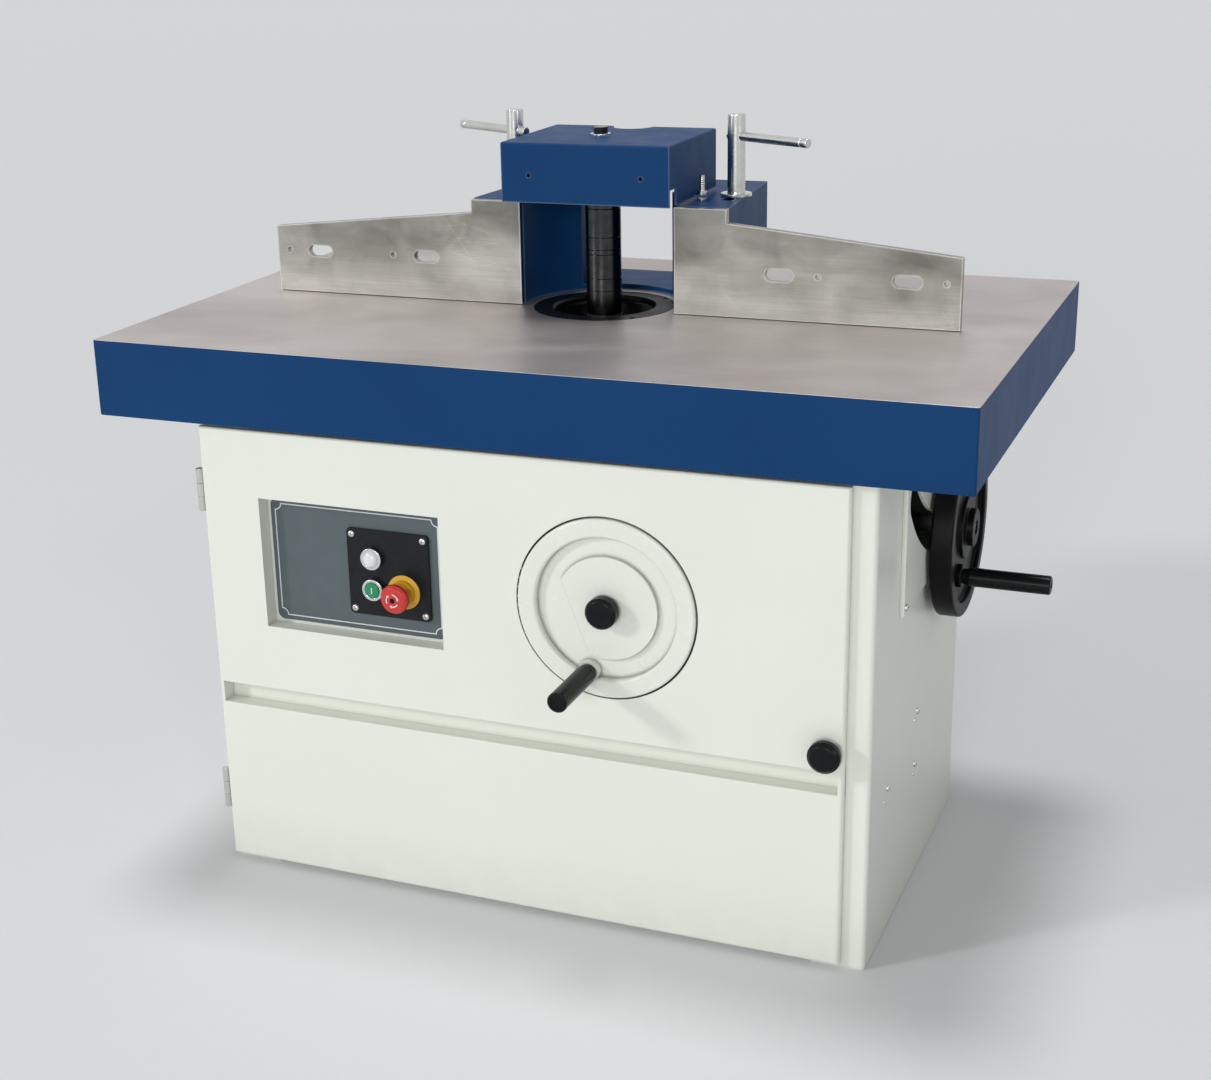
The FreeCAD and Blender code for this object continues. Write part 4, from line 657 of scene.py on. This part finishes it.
# %% [markdown]
# Turned parts are a profile spun round an axis, as on a lathe. The tree takes the profile as points, lays
# out a grid with one row for each point and one column for each step round the axis, and moves every grid
# point to its place on the turned surface. Merging the points that meet closes the seam and the poles.

# %% Lathe tree
LATHE_STEPS = 96
AXIS_TURNS = {"x": (0, math.pi / 2, 0), "y": (-math.pi / 2, 0, 0), "z": (0, 0, 0)}


def lathe_tree():
    tree, given = new_tree("lathe", {"Steps": "Int", "Turn": "Vector", "Centre": "Vector",
                                     "Finish": "Material"})
    size = add(tree, "GeometryNodeAttributeDomainSize", {"component": "MESH"}, Geometry=given["Geometry"])
    columns = sums(tree, "ADD", given["Steps"], 1.0)
    grid = add(tree, "GeometryNodeMeshGrid", Vertices_X=size.outputs["Point Count"], Vertices_Y=columns)
    number = add(tree, "GeometryNodeInputIndex").outputs["Index"]
    row = sums(tree, "FLOOR", sums(tree, "DIVIDE", number, columns))
    column = sums(tree, "MODULO", number, columns)
    place = add(tree, "GeometryNodeInputPosition").outputs["Position"]
    point = add(tree, "GeometryNodeSampleIndex", {"data_type": "FLOAT_VECTOR"}, Geometry=given["Geometry"],
                Value=place, Index=row)
    spot = add(tree, "ShaderNodeSeparateXYZ", Vector=pick(point.outputs, "Value")).outputs
    angle = sums(tree, "DIVIDE", sums(tree, "MULTIPLY", column, math.tau), given["Steps"])
    across = sums(tree, "MULTIPLY", spot["X"], sums(tree, "COSINE", angle))
    upward = sums(tree, "MULTIPLY", spot["X"], sums(tree, "SINE", angle))
    shell = add(tree, "GeometryNodeSetPosition", Geometry=grid.outputs["Mesh"],
                Position=vector(tree, X=across, Y=upward, Z=spot["Y"])).outputs["Geometry"]
    shell = add(tree, "GeometryNodeMergeByDistance", Geometry=shell, Distance=WELD).outputs["Geometry"]
    way = add(tree, "FunctionNodeEulerToRotation", Euler=given["Turn"]).outputs["Rotation"]
    placed = add(tree, "GeometryNodeTransform", Geometry=shell, Translation=given["Centre"], Rotation=way)
    close_tree(tree, placed.outputs["Geometry"], given["Finish"])
    return tree


lathe = lathe_tree()


def soft_corners(outline, parts=4):
    """Turns (radius, along, corner) points into a profile whose corners are rounded by that much."""
    spots = [Vector((point[0], point[1])) for point in outline]
    profile = []
    for i, (spot, point) in enumerate(zip(spots, outline)):
        corner = point[2] if len(point) > 2 else 0.0
        before, after = spots[i - 1] - spot, spots[(i + 1) % len(spots)] - spot
        if not corner:
            profile.append(spot)
            continue
        start, end = spot + before.normalized() * corner, spot + after.normalized() * corner
        for share in (k / parts for k in range(parts + 1)):
            profile.append((1 - share) ** 2 * start + 2 * share * (1 - share) * spot + share ** 2 * end)
    return profile


def turned(name, axis, centre, outline, finish):
    """Spins an outline of (radius, along, corner) points round an axis through the centre."""
    profile = soft_corners(outline)
    if any(spot.x > 0 for spot in (profile[0], profile[-1])):
        profile.append(profile[0])
    mesh = bpy.data.meshes.new(name)
    mesh.from_pydata([(spot.x, spot.y, 0) for spot in profile], [], [])
    across = [0.0 if letter == axis else value for letter, value in zip("xyz", centre)]
    piece = grown(to_object(name, mesh), lathe, {
        "Steps": LATHE_STEPS, "Turn": AXIS_TURNS[axis], "Centre": across, "Finish": finish})
    work = opened(piece.data)
    bmesh.ops.recalc_face_normals(work, faces=work.faces)
    closed(work, piece.data)
    return shaded(piece, TRIM_SHARP)


print("lathe ready")

# %% [markdown]
# The lathe makes the round trim. Plugs close the hollow ends of the two grips, bright rings frame the
# lamp and the start button, and a plated washer lies under the black bolt in the hood.

# %% Round trim
PLUG_RADIUS, DIMPLE_RADIUS, FLOOR_RADIUS = 7.9 * MM, 4.6 * MM, 4.0 * MM
PLUG_ROUND, DIMPLE_ROUND = 0.6 * MM, 0.5 * MM
SEAT_MM, SUNK_MM, DIMPLE_MM, FLOOR_MM = 0.1, 0.4, 2.2, 2.4


def plug(name, axis, bolt, grip, direction):
    """Plug with a sunk middle in the end of a grip, over the head of its bolt."""
    number, end = "xyz".index(axis), 1 if direction > 0 else 0
    tip, back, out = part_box(grip)[end][number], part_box(bolt)[end][number], direction * MM
    seat, rim = back + SEAT_MM * out, tip - SUNK_MM * out
    piece = turned(name, axis, middle(bolt), [
        (0, seat), (PLUG_RADIUS, seat), (PLUG_RADIUS, rim, PLUG_ROUND), (DIMPLE_RADIUS, rim, DIMPLE_ROUND),
        (FLOOR_RADIUS, tip - DIMPLE_MM * out, DIMPLE_ROUND), (0, tip - FLOOR_MM * out)], black_plastic)
    return settle(piece, black_plastic, node_body[grip], "black_plastic")


plug("tilt_grip_plug", "y", "tilt_grip_bolt", "tilt_grip", -1)
plug("lift_grip_plug", "x", "lift_grip_bolt", "lift_grip", 1)

BUTTON_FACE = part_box("button_plate_screws")[1][1]
BUTTON_RADIUS, BUTTON_PLAY, LAMP_LAP = 11 * MM, 0.35 * MM, 0.2 * MM
BEZEL_RADIUS, BEZEL_ROUND, BEZEL_LIP = 15.3 * MM, 1.2 * MM, 0.6 * MM
BEZEL_BACK, BEZEL_FRONT = BUTTON_FACE - 4.5 * MM, BUTTON_FACE - 8.6 * MM


def bezel(name, node, inner):
    """Bright cap on the black collar of the button plate, round a button or lamp."""
    outline = [(inner, BEZEL_BACK), (BEZEL_RADIUS, BEZEL_BACK), (BEZEL_RADIUS, BEZEL_FRONT, BEZEL_ROUND),
               (inner, BEZEL_FRONT, BEZEL_LIP)]
    return settle(turned(name, "y", middle(node), outline, chrome_trim), chrome_trim, "door", "zinc")


bezel("lamp_bezel", "lamp", BUTTON_RADIUS - LAMP_LAP)
bezel("start_bezel", "start_button", BUTTON_RADIUS + BUTTON_PLAY)

HOOD_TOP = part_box("hood")[1][2]
WASHER_INNER, WASHER_OUTER, WASHER_ROUND = 9.0 * MM, 14.4 * MM, 0.5 * MM
washer_low, washer_high = HOOD_TOP + 0.02 * MM, HOOD_TOP + 2.15 * MM
washer = turned("hood_washer", "z", middle("hood_bolt"), [
    (WASHER_INNER, washer_low), (WASHER_OUTER, washer_low), (WASHER_OUTER, washer_high, WASHER_ROUND),
    (WASHER_INNER, washer_high)], zinc_plate)
settle(washer, zinc_plate, "fence", "zinc")
print("round trim: 2 plugs, 2 bezels, 1 washer")

# %% [markdown]
# The black wheel on the right side raises the spindle. It is a dish wheel cast in iron under gloss enamel:
# a deep rim, a web set back between rim and hub, and a boss for the grip. All of it but the boss follows
# one profile, so the same lathe turns it with soft cast corners, and a second profile makes the boss.

# %% Side wheel
wheel_low, wheel_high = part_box("lift_wheel")
WHEEL_RADIUS = (wheel_high[1] - wheel_low[1]) / 2
RIM_INNER, HUB_STEP, HUB_RADIUS, BORE_RADIUS, BOSS_RADIUS = [mm * MM for mm in (105, 44, 26, 10.2, 16)]
back, front = wheel_low[0], wheel_high[0]
rim_back, rim_front = back + 2.5 * MM, front - 8 * MM
web_front, web_back, shoulder = rim_front - 8 * MM, rim_front - 18 * MM, rim_front - 2 * MM
CAST, LIP = 2.5 * MM, 4 * MM
side_wheel = turned("side_wheel", "x", middle("lift_wheel"), [
    (BORE_RADIUS, back), (HUB_RADIUS, back, CAST), (HUB_RADIUS, web_back, CAST), (RIM_INNER, web_back, CAST),
    (RIM_INNER, rim_back, CAST), (WHEEL_RADIUS, rim_back, LIP), (WHEEL_RADIUS, rim_front, LIP),
    (RIM_INNER, rim_front, CAST), (RIM_INNER, web_front, CAST), (HUB_STEP, web_front, CAST),
    (HUB_STEP, shoulder, CAST), (HUB_RADIUS, shoulder, CAST), (HUB_RADIUS, front, CAST),
    (BORE_RADIUS, front)], black_enamel)
settle(side_wheel, black_enamel, "lift_wheel", "black_gloss", "lift_wheel")
boss_back, boss_front = web_back + 0.5 * MM, rim_front - 0.2 * MM
boss = turned("side_wheel_boss", "x", middle("lift_grip"), [
    (0, boss_back), (BOSS_RADIUS, boss_back), (BOSS_RADIUS, boss_front, CAST), (0, boss_front)], black_enamel)
settle(boss, black_enamel, "lift_wheel", "black_gloss")
print("side wheel faces", len(side_wheel.data.polygons), "radius", round(WHEEL_RADIUS, 4))

# %% [markdown]
# Printed marks are flat ink. Ink can be a mask in a material, but a thin plate of its own keeps crisp
# edges. The grey control plate has a pale border line with scalloped corners, the start button has an
# upright stroke, and the stop button has three arrows that show which way it turns to spring back.

# %% Printed marks
INK = 0.12 * MM


def thicken(work, faces, way):
    raised = bmesh.ops.extrude_face_region(work, geom=faces)["geom"]
    bmesh.ops.translate(work, vec=way, verts=[v for v in raised if isinstance(v, bmesh.types.BMVert)])


def ink(name, outlines, face, finish, body, slot):
    """Thin plates with the given outlines in X and Z, on a face that looks along -Y."""
    work = bmesh.new()
    for outline in outlines:
        work.faces.new([work.verts.new((x, face, z)) for x, z in outline])
    bmesh.ops.remove_doubles(work, verts=work.verts, dist=WELD)
    thicken(work, work.faces[:], (0, -INK, 0))
    return settle(built(name, work), finish, body, slot)


def line_round(path, width):
    """Mitred strips along a closed path that runs anticlockwise."""
    def offset(number, distance):
        spots = [Vector(path[i % len(path)]) for i in (number - 1, number, number + 1)]
        before, after = (spots[1] - spots[0]).normalized(), (spots[2] - spots[1]).normalized()
        outward = Vector((before.y + after.y, -before.x - after.x))
        return tuple(spots[1] + outward * distance / (1 + before.dot(after)))

    outer = [offset(i, width / 2) for i in range(len(path))]
    inner = [offset(i, -width / 2) for i in range(len(path))]
    return [[outer[i - 1], outer[i], inner[i], inner[i - 1]] for i in range(len(path))]


plate_low, plate_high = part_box("control_plate")
BORDER_INSET, BORDER_SCALLOP, BORDER_WIDTH, SCALLOP_PARTS = 7 * MM, 9 * MM, 1.6 * MM, 6
left, right = plate_low[0] + BORDER_INSET, plate_high[0] - BORDER_INSET
low, high = plate_low[2] + BORDER_INSET, plate_high[2] - BORDER_INSET
border = []
for corner_x, corner_z, first in ((left, low, 90), (right, low, 180), (right, high, 270), (left, high, 0)):
    for part in range(SCALLOP_PARTS + 1):
        angle = math.radians(first - 90 * part / SCALLOP_PARTS)
        border.append((corner_x + BORDER_SCALLOP * math.cos(angle),
                       corner_z + BORDER_SCALLOP * math.sin(angle)))
ink("control_border", line_round(border, BORDER_WIDTH), plate_low[1], mark_white, "door", "white_plastic")

STROKE_HALF, STROKE_REACH = 0.8 * MM, 4.5 * MM
start_x, _, start_z = middle("start_button")
stroke = [(start_x + side * STROKE_HALF, start_z + end * STROKE_REACH)
          for side, end in ((-1, -1), (1, -1), (1, 1), (-1, 1))]
ink("start_mark", [stroke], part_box("start_button")[0][1], mark_white, "start_button", "white_plastic")

ARROW_RADIUS, ARROW_WIDTH, ARROW_BARB, DOT_RADIUS = 8.6 * MM, 1.7 * MM, 1.3 * MM, 3.6 * MM
ARROW_SWEEP, ARROW_POINT = math.radians(66), math.radians(24)
ARROW_PARTS, DOT_PARTS = 8, 32


def turn_arrow(x, z, start):
    """Outline of a curved arrow that runs clockwise from the start angle."""
    def spot(radius, angle):
        return x + radius * math.cos(angle), z + radius * math.sin(angle)

    inner, outer = ARROW_RADIUS - ARROW_WIDTH / 2, ARROW_RADIUS + ARROW_WIDTH / 2
    angles = [start - ARROW_SWEEP * i / ARROW_PARTS for i in range(ARROW_PARTS + 1)]
    head = [spot(outer + ARROW_BARB, angles[-1]), spot(ARROW_RADIUS, angles[-1] - ARROW_POINT),
            spot(inner - ARROW_BARB, angles[-1])]
    return [spot(outer, a) for a in angles] + head + [spot(inner, a) for a in reversed(angles)]


stop_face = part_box("estop_button")[0][1]
arrows = [turn_arrow(stop_x, stop_z, math.radians(90 + 120 * i)) for i in range(3)]
ink("stop_arrows", arrows, stop_face, mark_white, "estop_button", "white_plastic")
dot = [(stop_x + DOT_RADIUS * math.cos(a), stop_z + DOT_RADIUS * math.sin(a))
       for a in (math.tau * i / DOT_PARTS for i in range(DOT_PARTS))]
ink("stop_centre", [dot], stop_face, black_plastic, "estop_button", "black_plastic")
print("printed marks: border, start stroke, stop arrows, stop centre")

# %% [markdown]
# Screws repeat, so Geometry Nodes set them out. One head of each kind is modelled, then a tree puts a
# copy on every point of a carrier mesh: an attribute on the points says which way each screw faces, and
# a seeded random turn stops the slots from lining up. The points come from the CAD screws themselves, so
# each modelled head sits exactly where the plain one was.

# %% Screw heads
HEAD_STEPS = 40
HEAD_WELD = 1e-4


def head_blank(name, profile):
    """Unit-radius head on +Z with its seat at zero."""
    work = bmesh.new()
    rim = [work.verts.new((radius, 0, height)) for radius, height in profile]
    edges = [work.edges.new(pair) for pair in zip(rim, rim[1:])]
    bmesh.ops.spin(work, geom=rim + edges, cent=(0, 0, 0), axis=(0, 0, 1), angle=math.tau, steps=HEAD_STEPS,
                   use_merge=True)
    bmesh.ops.remove_doubles(work, verts=work.verts, dist=HEAD_WELD)
    return built(name, work)


def cutter(name, outline, low, high):
    """Upright prism, used to sink a driver recess."""
    work = bmesh.new()
    base = work.faces.new([work.verts.new((x, y, low)) for x, y in outline])
    thicken(work, [base], (0, 0, high - low))
    return built(name, work)


def sunk(head, tool):
    cut = head.modifiers.new("recess", "BOOLEAN")
    cut.operation = "DIFFERENCE"
    cut.solver = "EXACT"
    cut.object = tool
    applied(head)
    bpy.data.objects.remove(tool)
    shaded(head, TRIM_SHARP)
    head.hide_render = True
    return head


CROSS_HALF, CROSS_REACH, CROSS_FLOOR, CROSS_TOP = 0.11, 0.52, 0.30, 0.9
SOCKET_REACH, SOCKET_FLOOR, SOCKET_TOP = 0.50, 1.2, 2.5
arm = [(CROSS_HALF, CROSS_REACH), (-CROSS_HALF, CROSS_REACH), (-CROSS_HALF, CROSS_HALF)]
cross = []
for _ in range(4):
    cross += arm
    arm = [(-y, x) for x, y in arm]
hexagon = [(SOCKET_REACH * math.cos(math.tau * i / 6), SOCKET_REACH * math.sin(math.tau * i / 6))
           for i in range(6)]
pan_profile = [(0, 0), (1.0, 0), (1.0, 0.12), (0.95, 0.30), (0.82, 0.46), (0.58, 0.57), (0.30, 0.625),
               (0, 0.64)]
flat_profile = [(0, 0), (0.96, 0), (0.96, 1.98), (0.90, 2.06), (0, 2.06)]
cross_tool = cutter("cross_recess", cross, CROSS_FLOOR, CROSS_TOP)
hex_tool = cutter("hex_recess", hexagon, SOCKET_FLOOR, SOCKET_TOP)
pan_head = sunk(head_blank("pan_head", pan_profile), cross_tool)
flat_head = sunk(head_blank("flat_head", flat_profile), hex_tool)
print("pan head faces", len(pan_head.data.polygons), "flat head faces", len(flat_head.data.polygons))

# %% [markdown]
# The tree that sets screws out: points in, heads turned to face outwards, given a random turn about their
# own axis, scaled to the size stored on each point, made real and painted.


# %% Screw tree
def screw_tree():
    tree, given = new_tree("screw_set", {"Head": "Object", "Seed": "Int", "Finish": "Material"})
    head = add(tree, "GeometryNodeObjectInfo", Object=given["Head"]).outputs["Geometry"]
    facing = add(tree, "GeometryNodeInputNamedAttribute", {"data_type": "FLOAT_VECTOR"}, Name="facing")
    size = add(tree, "GeometryNodeInputNamedAttribute", {"data_type": "FLOAT"}, Name="size")
    upright = add(tree, "FunctionNodeAlignRotationToVector", {"axis": "Z"},
                  Vector=pick(facing.outputs, "Attribute"))
    chance = add(tree, "FunctionNodeRandomValue", {"data_type": "FLOAT"}, Min=0.0, Max=math.tau,
                 Seed=given["Seed"])
    twist = add(tree, "FunctionNodeAxisAngleToRotation", Axis=(0, 0, 1), Angle=pick(chance.outputs, "Value"))
    turned_about = add(tree, "FunctionNodeRotateRotation", {"rotation_space": "LOCAL"},
                       Rotation=upright.outputs[0], Rotate_By=twist.outputs[0])
    screws = add(tree, "GeometryNodeInstanceOnPoints", Points=given["Geometry"], Instance=head,
                 Rotation=turned_about.outputs[0], Scale=pick(size.outputs, "Attribute"))
    close_tree(tree, screws.outputs["Instances"], given["Finish"])
    return tree


def carrier(name, places):
    """Points that carry, for each screw, its seat, the way it faces and its radius."""
    mesh = bpy.data.meshes.new(name)
    mesh.from_pydata([seat for seat, _, _ in places], [], [])
    mesh.attributes.new("facing", "FLOAT_VECTOR", "POINT")
    mesh.attributes.new("size", "FLOAT", "POINT")
    for number, (_, way, radius) in enumerate(places):
        mesh.attributes["facing"].data[number].vector = way
        mesh.attributes["size"].data[number].value = radius
    return to_object(name, mesh)


def loose_parts(node):
    """Corner boxes of the separate solids in a node."""
    work = opened(nodes[node].data)
    bmesh.ops.remove_doubles(work, verts=work.verts, dist=WELD)
    left_over, parts = set(work.verts), []
    while left_over:
        front, part = [left_over.pop()], []
        while front:
            vert = front.pop()
            part.append(vert.co.copy())
            linked = [edge.other_vert(vert) for edge in vert.link_edges]
            fresh = [other for other in linked if other in left_over]
            left_over.difference_update(fresh)
            front.extend(fresh)
        parts.append([Vector([pick_end(v[i] for v in part) for i in range(3)]) for pick_end in (min, max)])
    work.free()
    return parts


def screw_places(node):
    places = []
    for low, high in sorted(loose_parts(node), key=lambda part: tuple(part[0])):
        size, centre = high - low, (low + high) / 2
        axis = max(range(3), key=lambda i: abs(size[i] - sorted(size)[1]))
        way = Vector((0, 0, 0))
        way[axis] = 1.0 if axis == 2 or centre[axis] > 0 else -1.0
        seat = centre - way * size[axis] / 2
        places.append((seat, way, size[(axis + 1) % 3] / 2))
    return places


screw_set = screw_tree()


def set_screws(name, places, head, finish, body, slot, seed, *stands_for):
    piece = carrier(name, places)
    grown(piece, screw_set, {"Head": head, "Seed": seed, "Finish": finish})
    settle(piece, finish, body, slot, *stands_for)
    return len(places)


def set_node_screws(node, head, finish, seed):
    return set_screws(node + "_set", screw_places(node), head, finish, node_body[node], node_slot[node], seed,
                      node)


print("screws", set_node_screws("panel_screws", pan_head, zinc_plate, 3),
      set_node_screws("button_plate_screws", pan_head, zinc_plate, 5),
      set_node_screws("ring_screws", flat_head, black_oxide, 7))

# %% [markdown]
# Some small screws aren't in the CAD model at all: two on each hinge leaf, a few that hold the wiring
# brackets inside the right wall, and the black screws that close two holes in the hood. The same tree sets
# them out from places that are worked out here, each on the face that carries it.

# %% Small screws
LEAF_THICKNESS, LEAF_INSET, LEAF_SHARES = 2.5 * MM, 11 * MM, (0.18, 0.82)
HINGE_SCREW, WALL_SCREW, HOOD_SCREW = 3.2 * MM, 3.0 * MM, 3.0 * MM
WALL_PLACES_MM = ((-8, 246), (-5, 164), (-178, 202))
HOLE_OFFSET, HOLE_HEIGHT, HOLE_SEAT = 82 * MM, 190.5 * MM, 5.6 * MM
hinge_places = []
for low, high in loose_parts("hinge_fixed_leaves"):
    for share in LEAF_SHARES:
        seat = Vector((high.x - LEAF_THICKNESS, high.y - LEAF_INSET, low.z + share * (high.z - low.z)))
        hinge_places.append((seat, Vector((-1, 0, 0)), HINGE_SCREW))
wall_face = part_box("right_side_wall")[1][0]
wall_places = [(Vector((wall_face, y * MM, z * MM)), Vector((1, 0, 0)), WALL_SCREW)
               for y, z in WALL_PLACES_MM]
hole_x, hole_y, hole_z = middle("hood")[0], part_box("hood")[0][1] + HOLE_SEAT, TABLE_TOP + HOLE_HEIGHT
hood_places = [(Vector((hole_x + offset, hole_y, hole_z)), Vector((0, -1, 0)), HOOD_SCREW)
               for offset in (-HOLE_OFFSET, HOLE_OFFSET)]
print("small screws", set_screws("hinge_screws", hinge_places, pan_head, zinc_plate, "cabinet", "zinc", 11),
      set_screws("wall_screws", wall_places, pan_head, zinc_plate, "cabinet", "zinc", 13),
      set_screws("hood_screws", hood_places, flat_head, black_enamel, "fence", "black_oxide", 17))
for head in (pan_head, flat_head):
    bpy.data.objects.remove(head)

# %% [markdown]
# The rear panel lets the motor's heat out through rows of slots. On sheet metal such slots are pressed into
# louvres: the upper edge stays joined and bulges out over the slot, so chips can't fall in. One louvre is
# made as a bent skin, and a tree repeats it over the columns and rows of slots.

# %% Louvres
LOUVRE_LENGTH, LOUVRE_PROUD, LOUVRE_HEIGHT, LOUVRE_SHEET = 128 * MM, 5 * MM, 10 * MM, 0.9 * MM
LOUVRE_PARTS, LOUVRE_RINGS, LOUVRE_SQUARENESS, LOUVRE_DROP = 24, 6, 6, 0.3
LOUVRE_SHARP = math.radians(50)
panel_low, panel_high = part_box("rear_panel")


def louvre_blank():
    """One louvre on a face that looks along +Y, open at its lower edge."""
    work = bmesh.new()
    rows = []
    for i in range(LOUVRE_PARTS + 1):
        share = 2 * i / LOUVRE_PARTS - 1
        bulge = math.sqrt(max(0.0, 1 - abs(share) ** LOUVRE_SQUARENESS))
        angles = [math.pi / 2 * j / LOUVRE_RINGS for j in range(LOUVRE_RINGS + 1)]
        rows.append([work.verts.new((share * LOUVRE_LENGTH / 2, bulge * LOUVRE_PROUD * math.sin(angle),
                                     LOUVRE_HEIGHT * (math.cos(angle) - LOUVRE_DROP))) for angle in angles])
    for first, second in zip(rows, rows[1:]):
        for j in range(LOUVRE_RINGS):
            work.faces.new((first[j], second[j], second[j + 1], first[j + 1]))
    blank = built("louvre", work)
    skin = blank.modifiers.new("skin", "SOLIDIFY")
    skin.thickness = LOUVRE_SHEET
    skin.offset = 0
    return shaded(applied(blank), LOUVRE_SHARP)


def louvre_tree():
    tree, given = new_tree("louvre_rows", {
        "Louvre": "Object", "Columns": "Int", "Rows": "Int", "Width": "Float", "Height": "Float",
        "Centre": "Vector", "Finish": "Material"})
    grid = add(tree, "GeometryNodeMeshGrid", Size_X=given["Width"], Size_Y=given["Height"],
               Vertices_X=given["Columns"], Vertices_Y=given["Rows"]).outputs["Mesh"]
    upright = add(tree, "FunctionNodeEulerToRotation", Euler=(math.pi / 2, 0, 0)).outputs["Rotation"]
    points = add(tree, "GeometryNodeTransform", Geometry=grid, Translation=given["Centre"], Rotation=upright)
    shape = add(tree, "GeometryNodeObjectInfo", Object=given["Louvre"]).outputs["Geometry"]
    rows = add(tree, "GeometryNodeInstanceOnPoints", Points=points.outputs["Geometry"], Instance=shape)
    close_tree(tree, rows.outputs["Instances"], given["Finish"])
    return tree


SLOT_COLUMNS, SLOT_ROWS, SLOT_PITCH, SLOT_LOW, SLOT_OFFSET = 2, 9, 16 * MM, 165.75 * MM, 233 * MM
rows_height = (SLOT_ROWS - 1) * SLOT_PITCH
louvre = louvre_blank()
louvres = grown(to_object("rear_louvres", bpy.data.meshes.new("rear_louvres")), louvre_tree(), {
    "Louvre": louvre, "Columns": SLOT_COLUMNS, "Rows": SLOT_ROWS, "Width": 2 * SLOT_OFFSET,
    "Height": rows_height, "Finish": cabinet_enamel, "Centre": (0, panel_high[1], SLOT_LOW + rows_height / 2)})
settle(louvres, cabinet_enamel, "cabinet", "cabinet_paint")
bpy.data.objects.remove(louvre)
print("louvres", SLOT_COLUMNS * SLOT_ROWS, "faces", len(louvres.data.polygons))

# %% [markdown]
# The table is a hollow casting that reaches out behind the cabinet. Without a cover, daylight would come
# in over the rear panel and show through the ring round the spindle. A strip of sheet stands between the
# panel's upper edge and the table and keeps chips in and light out.

# %% Chip shield
SHIELD_GAP, SHIELD_SHEET, SHIELD_LAP, SHIELD_ROOM = 1 * MM, 2 * MM, 4 * MM, 0.3 * MM
TABLE_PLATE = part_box("left_clamp_screw")[0][2]
shield_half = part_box("right_side_wall")[0][0] - SHIELD_GAP
shield_back = panel_low[1] - SHIELD_GAP
shield_low, shield_high = panel_high[2] - SHIELD_LAP, TABLE_PLATE - SHIELD_ROOM
work = bmesh.new()
sheet = work.faces.new([work.verts.new((side * shield_half, shield_back, height)) for side, height in (
    (-1, shield_low), (1, shield_low), (1, shield_high), (-1, shield_high))])
thicken(work, [sheet], (0, -SHIELD_SHEET, 0))
settle(built("chip_shield", work), casting_primer, "cabinet", node_slot["table_bearers"])
print("shield mm", round(2 * shield_half / MM), "x", round((shield_high - shield_low) / MM))
